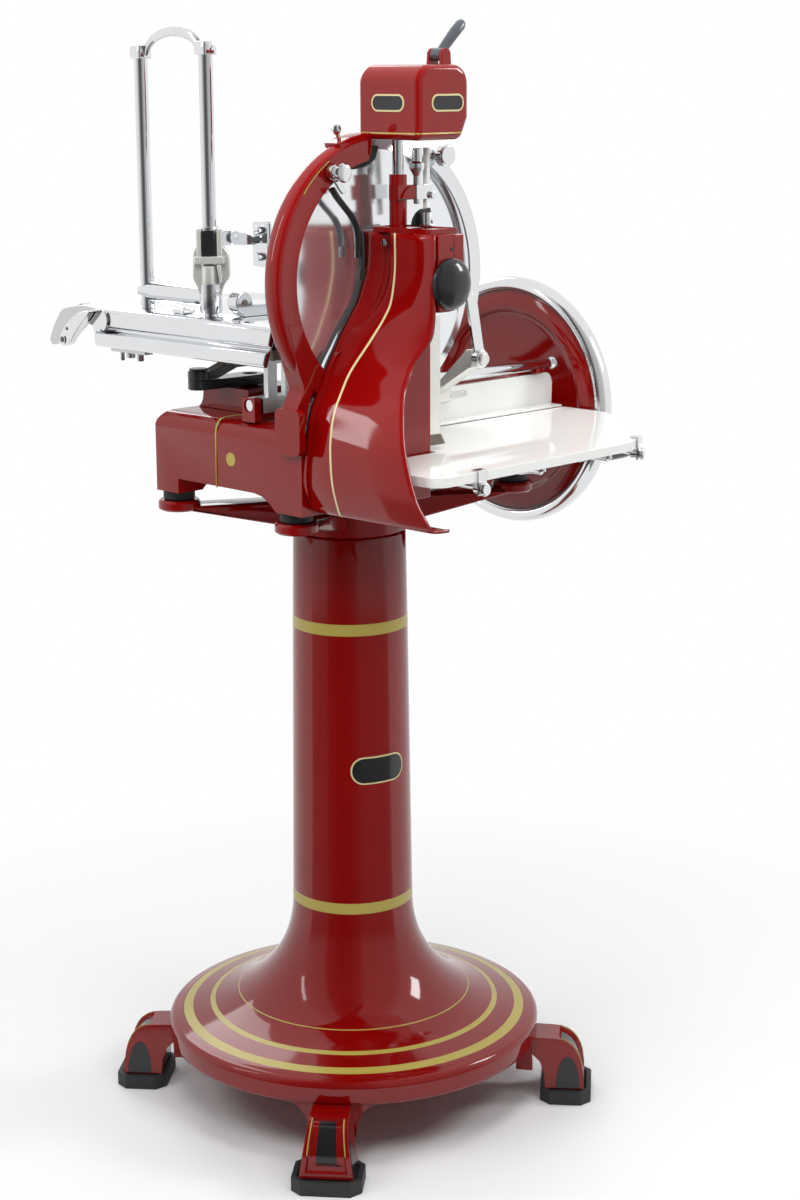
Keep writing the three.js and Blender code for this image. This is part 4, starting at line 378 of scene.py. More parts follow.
def gathered(*shapes):
    whole = bmesh.new()
    for shape in shapes:
        mesh = meshFrom("part", shape)
        whole.from_mesh(mesh)
        bpy.data.meshes.remove(mesh)
    return whole


def swung(bm, axis, degrees, centre=(0, 0, 0)):
    bmesh.ops.rotate(bm, verts=bm.verts, cent=spot(*centre), matrix=Matrix.Rotation(math.radians(degrees), 3, axis))
    return bm


def shifted(bm, *way):
    bmesh.ops.translate(bm, verts=bm.verts, vec=Vector(way) * mm)
    return bm


# Wraps a flat shape round the column; at the given radius it keeps its width
def wrapped(bm, radius, out=0, start=0):
    for vert in bm.verts:
        at = onDrawing(vert.co)
        turn = math.radians(start) + at.y / radius
        vert.co = spot((out + at.x) * math.cos(turn), (out + at.x) * math.sin(turn), at.z)
    return bm


# Steps faces inwards, each time by a width and a height
def stepped(bm, faces, *steps):
    for width, height in steps:
        bmesh.ops.inset_region(bm, faces=faces, thickness=width * mm, depth=height * mm, use_even_offset=True)


def rounded(bm, edges, width, segments=3, clamp=False):
    bmesh.ops.bevel(bm, geom=edges, offset=width * mm, offset_type="OFFSET", segments=segments, profile=0.5,
                    affect="EDGES", material=-1, clamp_overlap=clamp)


def scored(bm, at, way):
    bmesh.ops.bisect_plane(bm, geom=bm.verts[:] + bm.edges[:] + bm.faces[:], plane_co=spot(*at), plane_no=way)


# The fixed part's mesh with its flat faces merged; longer steps also merge close points
def copied(node, *steps):
    bm = bmesh.new()
    bm.from_mesh(cadNodes[node].data)
    for step in steps:
        bmesh.ops.remove_doubles(bm, verts=bm.verts, dist=step)
        bmesh.ops.dissolve_limit(bm, angle_limit=math.radians(0.5), verts=bm.verts, edges=bm.edges)
    return bm


def addPiece(name, bm, looksOf, node, corner=30, second=None, soft=None, hides=True):
    picked = [looksOf] if isinstance(looksOf, str) else looksOf
    if second:
        for face in bm.faces:
            face.material_index = int(second(middle(face), face))
    mesh = meshFrom(name, bm)
    mesh.shade_smooth()
    mesh.set_sharp_from_angle(angle=math.radians(corner))
    item = placed(name, mesh)
    for look in picked:
        mesh.materials.append(finish[look])
    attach(item, bodyOf[node])
    if hides:
        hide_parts(node)
    if soft:
        edge = item.modifiers.new("softEdge", "BEVEL")
        edge.width, edge.segments = soft[0] * mm, soft[1]
        edge.limit_method = "ANGLE"
        edge.angle_limit = math.radians(corner)
    return item


# A piece beside the one that stands for its node
def addDetail(name, bm, look, node, corner=30, soft=None):
    addPiece(name, bm, look, node, corner, soft=soft, hides=False)


# A copy of the fixed part with its edges eased
def dressed(node, width, segments=2, look=None, corner=30):
    look = look or slotFinish[nodeSlot[node]]
    addPiece(node + "Eased", copied(node, 1e-5), look, node, corner, soft=(width, segments))


pedestal = {"bands": ((687, 703), (292, 307.5)), "discBands": ((163.6, 165), (197.8, 205), (229.8, 242.8)),
            "flare": ((84.6, 289.5), (87, 205), (144, 158), (204, 138)),
            "widths": ((819, 77), (684, 79.4), (289.5, 84.6)), "bore": 74, "discTop": 123, "steps": 128}


def columnRadius(z):
    return between(pedestal["widths"], z)


# Adds points where the gold bands of the disc begin and end
def withStops(points, stops):
    out = [points[0]]
    for one, two in zip(points, points[1:]):
        for stop in sorted(stops):
            if one[0] < stop < two[0]:
                share = (stop - one[0]) / (two[0] - one[0])
                out.append((stop, one[1] + share * (two[1] - one[1])))
        out.append(two)
    return out


def isPedestalGold(at, face):
    far = math.hypot(at.x, at.y)
    onColumn = far > pedestal["bore"] and any(low < at.z < high for low, high in pedestal["bands"])
    onDisc = at.z > pedestal["discTop"] and abs(face.normal.z) > 0.2
    return onColumn or onDisc and any(low < far < high for low, high in pedestal["discBands"])


outside = [(columnRadius(819) - 1.5, 819), *[(columnRadius(z), z) for z in (817, 703, 687, 684, 500, 307.5, 292)]]
foot = withStops([*pulled(pedestal["flare"], 28), (246, 127), (252, 125.2)], sum(pedestal["discBands"], ()))
lip = [*arc(252, 114, 11, 88, 0, 7), (263, 104), *arc(256, 97, 7, 0, -70, 5)]
inside = [(250, 91), (248, 116), (200, 130), (140, 150), (96, 190), (78, 250), (76.6, 289.5), (69, 819),
          outside[0]]
column = turned([*outside, *foot, *lip, *inside], "z", steps=pedestal["steps"])
addPiece("pedestalColumn", column, ["redEnamel", "goldLine"], "pedestal", 40, second=isPedestalGold)

leg = {"angles": (39.4, 129.4, 219.4, 309.4), "root": 236, "knee": 288, "toe": 331, "heel": 276, "top": 93,
       "under": 74, "bottom": 20.4, "half": 36, "taper": 0.694, "frontSteps": 8, "gusset": 70, "disc": 261}
toeCurve = pulled([(leg["knee"], leg["top"] - 2), (leg["toe"], leg["top"] - 2), (leg["toe"], leg["bottom"])],
                  leg["frontSteps"])


def tapered(bm):
    for vert in bm.verts:
        rise = max(0, min(1, (onDrawing(vert.co).z - leg["bottom"]) / (leg["top"] - leg["bottom"])))
        vert.co.y = columnAt.y + (vert.co.y - columnAt.y) * (1 + (leg["taper"] - 1) * rise)
    return bm


def limb():
    back = [(leg["heel"], leg["bottom"]), (275, 40), (268, 58), (256, 69), (leg["root"], leg["under"])]
    bm = drawn([(leg["root"], leg["top"]), *toeCurve, *back], "y", -leg["half"], leg["half"])
    outer = [f for f in bm.faces if f.normal.z > -0.1 and middle(f).x > leg["knee"] and abs(f.normal.y) < 0.5
             and f.normal.x > 0.02]
    stepped(bm, outer, (7, 0), (3, -3.5), (10.5, 0))
    for face in outer:
        face.material_index = 1
    return tapered(bm)


def gusset():
    skirt = smooth([(-leg["gusset"], 93), (-56, 90.5), (-43, 82), (-35, 66), (-31, 44)], 4)
    over = [(a, 94) for a in range(60, -61, -12)]
    return wrapped(drawn([*skirt, *[(-a, b) for a, b in reversed(skirt)], *over], "x", 236, 260), leg["disc"])


def sidePanel(side):
    return tapered(drawn(arc(308, 22, -17, 0, 180, 12, 44), "y", *sorted((side * 34, side * 36.7))))


def legLine(side):
    path = [(x + 0.3, side * (29 - 8.4 * (z - 20) / 73), z + 0.3) for x, z in toeCurve[1:7]]
    return bent(path, (0.85, 0.6), 8)


for i, angle in enumerate(leg["angles"]):
    casting, panels, lines = (swung(gathered(*pair), "Z", angle) for pair in (
        (limb(), gusset()), (sidePanel(1), sidePanel(-1)), (legLine(1), legLine(-1))))
    addPiece(f"legCasting{i + 1}", casting, ["redEnamel", "blackPlastic"], "pedestal", 34, soft=(4.5, 4))
    addDetail(f"legPanels{i + 1}", panels, "blackPlastic", "pedestal")
    addDetail(f"legLines{i + 1}", lines, "goldLine", "pedestal")

shoe = {"near": 269, "far": 341, "wide": 47, "corner": 14, "height": 20}
for i, angle in enumerate(leg["angles"]):
    near, far, wide, cut = shoe["near"], shoe["far"], shoe["wide"], shoe["corner"]
    bm = drawn([(near + cut, -wide), (far - cut, -wide), (far, cut - wide), (far, wide - cut), (far - cut, wide),
                (near + cut, wide), (near, wide - cut), (near, cut - wide)], "z", 0, shoe["height"])
    tops = [f for f in bm.faces if f.normal.z > 0.9 and middle(f).z > shoe["height"] - 1]
    stepped(bm, tops, (7, 0), (2, -4.5), (2, 0), (1.5, 4.2))
    swung(bm, "Z", angle)
    addPiece(f"rubberShoe{i + 1}", bm, "mattRubber", f"rubber_shoe_{i + 1}", 34, soft=(1.6, 3))
print("pedestal, legs and shoes are made")

standHead = {"feet": ((203, 115), (-203, 115), (-203, -115), (203, -115)), "half": 22, "root": 828, "tip": 862,
             "top": 866}
head = turned([(66, 819.4), (74, 819.4), (77.5, 822), (77.5, 863), (74.5, 866), (0, 866)], "z", steps=96)
for x, y in standHead["feet"]:
    reach = math.hypot(x, y)
    side = [(40, standHead["root"]), (76, standHead["root"]), (reach, standHead["tip"]), (reach, standHead["top"]),
            (40, standHead["top"])]
    beam = drawn(side, "y", -standHead["half"], standHead["half"])
    rounded(beam, beam.edges[:], 3.5)
    swung(beam, "Z", math.degrees(math.atan2(y, x)))
    head = gathered(head, beam, peg([(25, 860), (28, 862.5), (28, 871), (25.5, 874)], "z", (x, y), 48))
addPiece("standHead", head, "redEnamel", "stand_head", 35)
for i, place in enumerate(standHead["feet"]):
    cushion = peg([(19.5, 874.3), (21, 876), (21, 885.5), (19, 887.6)], "z", place, 40)
    addPiece(f"footCushion{i + 1}", cushion, "mattRubber", f"machine_foot_{i + 1}")

base = {"rounded": 7.5, "eased": 2.5, "lineY": 6,
        "line": ((-230.1, 906.5), (-230.1, 940), (-230.1, 978), (-229, 984.5), (-225.5, 991), (-219.5, 995),
                 (-212, 996.1), (-178, 996.1))}
baseBm = copied("base_frame", 1e-5, 8e-4)
longEdges = [e for e in baseBm.edges if e.is_manifold and e.calc_length() > 0.06 and 0.6 < e.calc_face_angle() < 1.0]
rounded(baseBm, longEdges, base["rounded"], 5)
print(f"{len(longEdges)} long edges of the base are rounded")
rims = [e for e in baseBm.edges if e.is_manifold and e.calc_length() > 0.018 and e.calc_face_angle() > 0.5]
rounded(baseBm, rims, base["eased"], 3, True)
addPiece("baseHousing", baseBm, "redEnamel", "base_frame", 24)
baseLine = bent([(x, base["lineY"], z) for x, z in base["line"]], (1.5, 0.45), 8)
addDetail("baseGoldLine", baseLine, "goldLine", "base_frame")
emblem = peg([(8.2, -230.5), (8.8, -230.1), (8.8, -229.6)], "x", (-22, 946), 40)
addDetail("emblemPlace", emblem, "goldLine", "base_frame")
flange = turned([(12.7, 230.4), (37, 230.4), (38, 231.4), (38, 238.5), (36.5, 240.3), (31, 240.3), (27.5, 244),
                 (26, 250), (26, 345), (23, 348), (12.7, 348)], "x", axleAt)
addPiece("shaftBearing", flange, "redEnamel", "shaft_bearing", 40)
dressed("crank_housing", 4, 4, corner=20)
dressed("rail_bracket_1", 1.2)
dressed("rail_bracket_2", 1.2)
print("stand head and base are made")

ring = {"start": 99, "sweep": 137, "front": -155, "back": -128, "crown": (-154, -127)}
ringProfile = [*arc(175, -141.5, 6, 90, -90, 15, 13.5), (170, -155), (158, -154), (151, -154.8), (148, -155),
               (147.2, -153.5), (148, -151.4), (160, -150.8), (174.3, -150.8), (174.3, -128), (175, -128)]
hoop = turned(ringProfile, "y", knifeAt, 84, ring["start"], ring["sweep"])
crownTop = smooth([(-154, 1324), (-147, 1318), (-137, 1315.2), (-124, 1316), (-111, 1320.4), (-103.6, 1328),
                   (-101.4, 1340), (-101.2, 1353.6)], 4)
crown = drawn([(-160, 1342), *crownTop, (-118, 1352.6), (-140, 1348.6)], "y", *ring["crown"])
crownLiner = drawn([(-137.3, 1315.2), (-131, 1309.6), (-110, 1312.3), (-93.5, 1320.5), (-86.5, 1337), (-100.5, 1337.5),
                    (-109.6, 1321.6), (-124, 1316.3)], "y", -150, -128)
addDetail("ringLiner", crownLiner, "mattRubber", "ring_guard", soft=(1, 2))
ringLine = turned([(173.4, -155.5), (174.3, -155.4), (174.3, -154.6), (173.4, -154.6)], "y", knifeAt, 40, 122, 19)
addDetail("ringGoldLine", ringLine, "goldLine", "ring_guard")
limbLeft = smooth([(-240.2, 1008), (-238.6, 1019), (-232, 1032), (-225.5, 1043), (-225, 1052), (-230.5, 1065),
                   (-236, 1081), (-241.5, 1103), (-250, 1129)], 4)
limbRight = smooth([(-214, 1101), (-204, 1078), (-207.2, 1052), (-212.5, 1036), (-217.8, 1021), (-221.6, 1002)], 4)
ringLimb = drawn([(-240.2, 1002), *limbLeft, (-227, 1126), *limbRight], "y", ring["front"] - 0.7, ring["back"] + 0.5)
ringFoot = drawn(slabOutline(-164, -119, 966, 1024, 9), "x", -241, -230.4)
stem = turned([(0, 176), (3.2, 176), (2.6, 186), (2.9, 189), *arc(0, 196.5, 6.5, -60, 90, 10)], "x", (0, 0), 32)
shifted(swung(stem, "Y", -110), knifeAt[0], -141.5, knifeAt[1])
crown.normal_update()
crownEdges = [e for e in crown.edges if any(all(abs(onDrawing(v.co).y - y) < 0.1 for v in e.verts)
                                            for y in ring["crown"])]
rounded(crown, crownEdges, 9, 5, True)
addPiece("ringGuard", gathered(hoop, ringLimb, ringFoot, crown), "redEnamel", "ring_guard", 35, soft=(2, 3))
addDetail("ringKnob", stem, "polishedChrome", "ring_guard", 40)

# Each row across the cover: how far down it is, how deep its back and its front edge lie and how far
# back its front edge swings, as shares of height, depth and sweep
cover = {"rows": [(0, 0, 0, 0), (0.13, 0, 0, 0), (0.24, 0.11, 0, 0), (0.29, 0.22, 0, 0), (0.36, 0.38, 0.045, 0),
                  (0.41, 0.48, 0.14, 0.04), (0.457, 0.58, 0.264, 0.08), (0.5, 0.655, 0.39, 0.02),
                  (0.545, 0.727, 0.51, -0.045), (0.628, 0.873, 0.71, -0.265), (0.71, 0.936, 0.864, -0.472),
                  (0.795, 0.982, 0.936, -0.647), (0.883, 1, 0.973, -0.826), (0.955, 0.955, 0.93, -0.97),
                  (0.988, 0.91, 0.88, -1), (1, 0.82, 0.8, -1), (1.004, 0.64, 0.62, -1)],
         "topZ": 1234, "height": 342, "x": -115, "depth": 110, "backY": -151.5, "frontY": -269.5, "sweep": 88.4,
         "pocketEnd": 0.42, "stripRows": 54,
         "stripe": ((1240, -204.6), (1190, -204.6), (1152, -204.6), (1130, -201), (1108, -195), (1084, -189),
                    (1063, -186), (1042, -186.6), (1016, -189.6), (988, -193.4), (960, -198.6), (930, -204.6),
                    (905, -207), (880, -206)),
         "grooveLeft": ((1240, -173), (1234, -172.5), (1200, -167), (1160, -160.5), (1120, -159), (1095, -158.8),
                        (880, -158.8)),
         "grooveRight": ((1240, -197), (1178, -197), (1150, -190), (1120, -175), (1095, -159), (880, -159))}
stripeLine, pocketLeft, pocketRight = (smooth(cover[key], 5) for key in ("stripe", "grooveLeft", "grooveRight"))


def coverRow(down, backDepth, frontDepth, sweep):
    z = cover["topZ"] - down * cover["height"]
    backX, backY = cover["x"] - backDepth * cover["depth"], cover["backY"]
    frontX, frontY = cover["x"] - frontDepth * cover["depth"], cover["frontY"] + sweep * cover["sweep"]
    stripe, left, right = (between(table, z) for table in (stripeLine, pocketLeft, pocketRight))
    deep = 10 * min(1, (left - right) / 16) if down < cover["pocketEnd"] else 0
    stations = [(backY, 0), (left + 1.2, 0), (left, 0.5), (left - (left - right) * 0.3, deep),
                (left - (left - right) * 0.7, deep), (right, 0.5), (right - 1.2, 0), (stripe + 1.6, 0),
                (stripe - 1.6, 0), ((stripe + frontY) / 2, 0), (frontY + 6, 0), (frontY + 1.6, 1.2), (frontY, 5)]
    return [(backX + min(1, (y - backY) / (frontY - backY)) * (frontX - backX) + push, y, z) for y, push in stations]


fineRows = smooth(cover["rows"], 4)
coverBm = bmesh.new()
before = None
for shares in fineRows:
    row = [coverBm.verts.new(spot(*p)) for p in coverRow(*shares)]
    edges = [coverBm.edges.new(pair) for pair in zip(row, row[1:])]
    if before:
        bmesh.ops.bridge_loops(coverBm, edges=before + edges)
    before = edges
bmesh.ops.recalc_face_normals(coverBm, faces=coverBm.faces)
coverBm.normal_update()
if sum(face.normal.x for face in coverBm.faces) > 0:
    bmesh.ops.reverse_faces(coverBm, faces=coverBm.faces)
coverItem = addPiece("sideCover", coverBm, ["redEnamel", "paleGold"], "side_cover", 50,
                     second=lambda at, face: abs(at.y - between(stripeLine, at.z)) < 1.4)
coverSkin = coverItem.modifiers.new("skin", "SOLIDIFY")
coverSkin.thickness = 4.2 * mm
coverSkin.offset = -1
coverSkin.material_offset = 0
# A thin black strip along the cover's back edge: a seal strip, and painted shade for the dark gap beside the knife
stripBm = bmesh.new()
stripEdges = []
for y, inward in ((-151.6, 1.2), (-147.2, 2.4)):
    path = [(cover["x"] - deep * cover["depth"] + inward, y, cover["topZ"] - down * cover["height"])
            for down, deep, *rest in fineRows[:cover["stripRows"]]]
    chain = [stripBm.verts.new(spot(*p)) for p in path]
    stripEdges += [stripBm.edges.new(pair) for pair in zip(chain, chain[1:])]
bmesh.ops.bridge_loops(stripBm, edges=stripEdges)
bmesh.ops.solidify(stripBm, geom=stripBm.faces[:], thickness=1.8 * mm)
addDetail("coverEdgeShadeStrip", stripBm, "blackPlastic", "side_cover", 60)
grooveScrew = turned([(0, -117), (3.6, -116.6), (5, -115), (5, -111), (0, -111)], "x", (-186, 1221), 32)
addDetail("coverScrew", grooveScrew, "polishedChrome", "side_cover", 40)

neckOutline = [(-106, 1234), (-62, 1234), (-60, 1232), (-60, 1164), *arc(-84, 1164, 24, 0, -90, 6)[1:], (-104, 1140)]
neck = drawn(neckOutline, "y", -269.5, -155.3)
rear = block(-106, -52, -205, -155.3, 897, 1150)
addPiece("housingNeck", gathered(neck, rear), "redEnamel", "knife_housing", soft=(2.2, 3))
seam = block(-77.8, -77.2, -269.8, -269.2, 1141, 1233.6)
addDetail("neckSeam", seam, "blackPlastic", "knife_housing")
# A thin black disc on the face stands for the screw hole: painted shade in the hole
screwHoleShade = peg([(2.4, -269.9), (2.8, -269.4)], "y", (-82, 1216), 24)
addDetail("neckScrewHoleShade", screwHoleShade, "blackPlastic", "knife_housing")
capShape = [(0, -269.9), (31.5, -269.9), (31.5, -272.6), *arc(0, -272.8, 31.5, 8, 88, 10, -13), (0, -285.8)]
addPiece("hubCap", turned(capShape, "y", knifeAt), "blackPlastic", "hub_cap", 40)

plate = drawn(slabOutline(-114, -62, -262, -163, 4), "z", 1234.3, 1240.6)
stepped(plate, [f for f in plate.faces if f.normal.z > 0.9], (3.5, 0), (0.8, -1.2))
tube = turned([(7.6, 1236), (11, 1236), (11, 1302), (10.2, 1303), (7.6, 1303)], "z", (-80, -176), 48)
bracket = drawn([(-91, 1290), (-91, 1272), (-62, 1272), (-62, 1290)], "y", -187, -171)
raised = drawn([(-90, 1274), (-86, 1274), *arc(-66, 1268.6, 20, 165, 90, 8), (-62, 1288.6), (-62, 1273), (-76, 1273)],
               "y", -189.5, -186)
addPiece("topPlate", gathered(plate, tube, bracket, raised), "redEnamel", "top_plate", 35, soft=(0.9, 2))
archBack = drawn([(-83, 1240.8), (-80, 1250), (-74, 1257), (-66, 1261), (-50, 1262), (-45.5, 1240.8)], "y", -203, -200)
addDetail("backStop", archBack, "blackPlastic", "top_plate", 35, (0.6, 2))
stub = peg([(9.5, 1240.7), (9.5, 1242.4), (6.6, 1243), (6.6, 1256), (5.8, 1257.2)], "z", (-66.5, -212), 40)
addDetail("lidStub", stub, "polishedChrome", "top_plate", 40)
# A thin dark disc on the stub's side stands for its hole: painted shade in the hole
stubHoleShade = turned([(0, -219.2), (1.5, -219), (1.8, -218), (0, -218)], "y", (-64, 1246), 20)
addDetail("lidStubHoleShade", stubHoleShade, "oiledGear", "top_plate", 40)

box = {"left": -104, "frontY": -235, "backY": -130, "line": (1352.6, 1354.2), "soft": (9, 6)}
front = [(-104, 1345), (-27, 1345), (-14, 1371), *arc(-37, 1412, 23, 0, 90, 10), *arc(-81, 1412, 23, 90, 180, 10)]
boxBm = drawn(front, "y", box["frontY"], box["backY"])
for height in box["line"]:
    scored(boxBm, (0, 0, height), (0, 0, 1))
addPiece("sharpenerBox", boxBm, ["redEnamel", "goldLine"], "sharpener_box", 28, soft=box["soft"],
         second=lambda at, face: box["line"][0] < at.z < box["line"][1])


# A plain plaque in place of a printed one: the rim and the face
def plaque(axis, centre, wide, high, at, out):
    a, b = centre
    layers = []
    for edge, near, far in ((0, 0, 0.7), (2.2, 0.3, 0.95)):
        w, h = wide - edge, high - edge
        outline = slabOutline(a - w, a + w, b - h, b + h, h * 0.96, 8)
        layers.append(drawn(outline, axis, *sorted((at + near * out, at + far * out))))
    return layers


def addPlaque(name, layers, node):
    for part, look, layer in zip(("Rim", "Face"), ("paleGold", "blackPlastic"), layers):
        addDetail(name + part, layer, look, node)


addPlaque("boxSidePlaque", plaque("x", (-183, 1389.6), 28, 10.5, box["left"], -1), "sharpener_box")
addPlaque("boxFrontPlaque", plaque("y", (-53, 1389.6), 28, 10.5, box["frontY"], -1), "sharpener_box")
columnPlate = {"z": 498, "wide": 42, "high": 19.5, "facing": -105.6}
columnLayers = plaque("x", (0, columnPlate["z"]), columnPlate["wide"], columnPlate["high"], 0, 1)
for layer in columnLayers:
    for across in range(-40, 41, 5):
        scored(layer, (0, across, 0), (0, 1, 0))
    wrapped(layer, columnRadius(columnPlate["z"]), columnRadius(columnPlate["z"]), columnPlate["facing"])
addPlaque("columnPlaque", columnLayers, "pedestal")

leverSide = [(-30, 1447), (-18, 1458.8), (-3, 1473), (8, 1482.5), (12.3, 1486)]
leverBody = bent([(x, -198, z) for x, z in leverSide], [(6, 6), (6.6, 6.6), (7.2, 7.2), (7.2, 7.2), (4.6, 4.6)], 20)
pivot = peg([(7, -206.4), (8, -205.4), (8, -190.6), (7, -189.6)], "y", (-30, 1447), 32)
addPiece("sharpenerLever", gathered(leverBody, pivot), "greyGrip", "sharpener_lever", 40)
for name, y in (("leverEarone", -208.8), ("leverEartwo", -187.2)):
    ear = drawn([(-39, 1433), (-21, 1433), *arc(-30, 1447, 8, -10, 190, 10)], "y", y - 2.4, y + 2.4)
    addDetail(name, ear, "redEnamel", "sharpener_box", 35, (0.8, 2))
post = peg([(7, 1238.8), (7, 1416), (6, 1417)], "z", (-80, -176), 48)
addPiece("sharpenerPost", post, "polishedChrome", "sharpener_post", 40)
rod = peg([(3.6, 1266), (4.4, 1267), (4.4, 1300), (4.6, 1301), (9.2, 1309), (9.8, 1312.5), (9.2, 1316.5), (6.6, 1318),
           (6.2, 1334.4)], "z", (-57, -186), 40)
holder = block(-61.7, -34, -190.5, -176, 1272, 1290)
strip = block(-43, -37.5, -190, -183, 1252, 1334.4)
stripNut = peg([(4.4, -195), (5.2, -194), (5.2, -190.4)], "y", (-35.7, 1276.3), 6)
addDetail("gaugeNut", stripNut, "polishedChrome", "set_screw", soft=(0.5, 2))
addPiece("setScrew", gathered(rod, holder), "polishedChrome", "set_screw", 35, soft=(0.7, 2))
addDetail("gaugeStrip", strip, "creamEnamel", "set_screw", 35, (0.6, 2))
dressed("sharpener_stones", 0.4, 1)
dressed("wiper_strip", 0.8, look="paleMetal")
wiperFoot = drawn([(-50, 961.9), (-21, 961.9), (-29, 976), (-50, 976)], "y", -201, -192)
addDetail("wiperFoot", wiperFoot, "oiledGear", "wiper_strip", 35, (0.8, 2))
print("ring guard, cover, housing and sharpener are made")

# The chrome rim starts at the pale radius; the thin ring just inside it is painted black, a painted shadow where the
# rim rises from the dish
wheel = {"pale": 163.4, "shadowRingFrom": 161.6}
wheelProfile = [(12.3, 371.6), (28, 371.6), (30, 373), (33, 381), (44, 386), (60, 388), (118, 388.5), (126, 387.5),
                (131, 384), (133.5, 379.5), (135.5, 376.4), (139, 375.4), (152, 376.6), (158, 378.4), (160.6, 379.6),
                (161.6, 380.4), (163.4, 380.4), (163.8, 379), *arc(172.4, 387.8, 9.6, -144, 144, 32, 15.8),
                (163.8, 398.8), (158, 398), (150, 396.6), (60, 396), (36, 396), (30, 402), (28, 404), (12.3, 404),
                (12.3, 371.6)]


# Chrome beyond the pale radius, and painted shadow in black on the thin ring just inside it
def wheelToneAndShadow(at, face):
    out = math.hypot(at.y - axleAt[0], at.z - axleAt[1])
    return 2 if wheel["shadowRingFrom"] < out < wheel["pale"] else out > wheel["pale"]


addPiece("flywheelDisc", turned(wheelProfile, "x", axleAt, 144), ["redEnamel", "polishedChrome", "blackPlastic"],
         "flywheel", 50, second=wheelToneAndShadow)
gripAt = (axleAt[0] - 146, axleAt[1] - 67)
handleBolt = turned([(0, 366), (4, 366.3), (6.8, 367.6), (8, 369), (8, 371.4), (6, 371.6), (6, 402.4), (8, 402.6),
                     (8, 407.6), (6, 407.8), (6, 476), (0, 476)], "x", gripAt, 32)
addPiece("handleBolt", handleBolt, "polishedChrome", "handle_axle", 40)
handleGrip = turned([(6.8, 408.2), (10.5, 408.2), (11.4, 411), (12.6, 425), (13.5, 440), (13.5, 462), (12.8, 474),
                     (11, 482), (7.5, 485.4), (0, 486)], "x", gripAt, 48)
addPiece("handleGrip", handleGrip, "blackPlastic", "handle_grip", 50)
shaftNut = peg([(11.4, 401), (11.4, 409), (9, 416)], "x", axleAt, 6)
shaftBar = turned([(0, -112), (11, -112), (12, -111), (12, 404), (0, 410)], "x", axleAt, 48)
addPiece("mainShaftBar", gathered(shaftBar, shaftNut), "satinSteel", "main_shaft", 35, soft=(0.8, 2))
knifeShape = [(0, -140), (60, -140), (158, -139.2), (170.6, -139), (172.5, -139.2), (172.5, -139.5), (159.4, -142.6),
              (158.6, -142.9), (157.6, -142.7), (150, -143), (62, -145.8), (58, -146), (0, -146)]
addPiece("knifeDisc", turned(knifeShape, "y", knifeAt, 160), "bladeSteel", "knife", 12)

guard = {"start": -14, "sweep": 74, "knobAngle": 56, "knobRadius": 188}
bandShape = [(161, -153), (161.6, -152.9), (180, -152.9), (181, -152.8), (181, -144.4), (176.4, -144.4),
             (176.4, -149.2), (161.6, -149.4), (161, -149.8), (161, -153)]
band = turned(bandShape, "y", knifeAt, 56, guard["start"], guard["sweep"])
lowBar = drawn([*arc(94, 1056, 12, 130, 385, 10), *arc(80, 1133, 10, 0, 160, 6)], "y", -153, -149)
boss = peg([(11, -160), (12, -159), (12, -149.2)], "y", (94, 1056), 40)
knobAt = [c - 7 for c in arc(*knifeAt, guard["knobRadius"], guard["knobAngle"], 90, 1)[0]]
knob = peg([(7, -149.4), (6, -154), (7, -161), (12.5, -161.4), (14, -163), (14, -172.5), (12, -174.6), (4, -175)],
           "y", knobAt, 48)
addPiece("swingGuard", gathered(band, lowBar, boss, knob), "polishedChrome", "swing_guard", 35, soft=(0.7, 2))
dressed("guard_bracket", 0.8, look="paleMetal")

gripSide = smooth([(-180, 1288.5), (-170.8, 1277.3), (-157.5, 1264.2), (-145.9, 1252.6), (-139.2, 1241.1),
                   (-136.4, 1229.7), (-135.6, 1217.1), (-135.6, 1203)], 5)
deflectorGrip, deflectorCore = (bent([(x, y, z) for x, z in gripSide], halves, sides) for y, halves, sides in (
    (-162.5, (4.8, 3.6), 18), (-160.4, (5.7, 1.4), 14)))
addPiece("deflectorGrip", deflectorGrip, "blackPlastic", "deflector_lever", 50)
addDetail("deflectorCore", deflectorCore, "polishedChrome", "deflector_lever", 50)
clampHub = turned([(3.4, -169.8), (6, -169.8), (8.6, -168), (8.6, -158), (7, -155.6), (3.4, -155.6), (3.4, -169.8)],
                  "y", (-177.5, 1309), 40)
clampArm = drawn([(-184, 1303), (-178, 1316), (-170, 1312), (-163, 1296), (-154, 1284), (-160, 1281), (-166, 1287),
                  (-171, 1294)], "y", -161, -157)
wing = peg([(9.5, -171.4), (12, -170.2), (12, -167.4), (9.5, -166.2), (4.5, -166.2), (4.5, -161.2)],
            "y", (-166, 1307.4), 48)
addDetail("deflectorClamp", gathered(clampHub, clampArm, wing), "polishedChrome", "deflector_lever", 40, (0.8, 2))
print("flywheel, knife and guards are made")

railShape = [(0, -221), (7, -221), (8, -220), (8, 343), (6, 348), (6, 351), *arc(0, 361, 10, -50, 90, 14)]
addPiece("frontRail", turned(railShape, "x", (-50, 1017), 48), "polishedChrome", "front_rail", 40)
boardOutline = [(-48, 957), (364, 957), (364, 989.5), *arc(350, 989.5, 14, 0, 90, 8), (-48, 1003.5)]
addPiece("shieldBoard", drawn(boardOutline, "y", -46.8, -41.3), "creamEnamel", "shield_board", soft=(1.2, 3))
addDetail("boardLedge", block(-46, 361, -68.6, -46.9, 955.4, 958.4), "creamEnamel", "shield_board", soft=(0.8, 2))
boardSlot = drawn(slabOutline(122, 184, 986.5, 995.5, 4.4), "y", -47.5, -46.6)
addDetail("boardSlot", boardSlot, "satinSteel", "shield_board", soft=(0.3, 1))
for i, x in enumerate((131, 153, 175)):
    screwHead = peg([(2.2, -48.2), (3.4, -47.4), (3.4, -46.6)], "y", (x, 991), 24)
    addDetail(f"boardScrew{i + 1}", screwHead, "satinSteel", "shield_board")
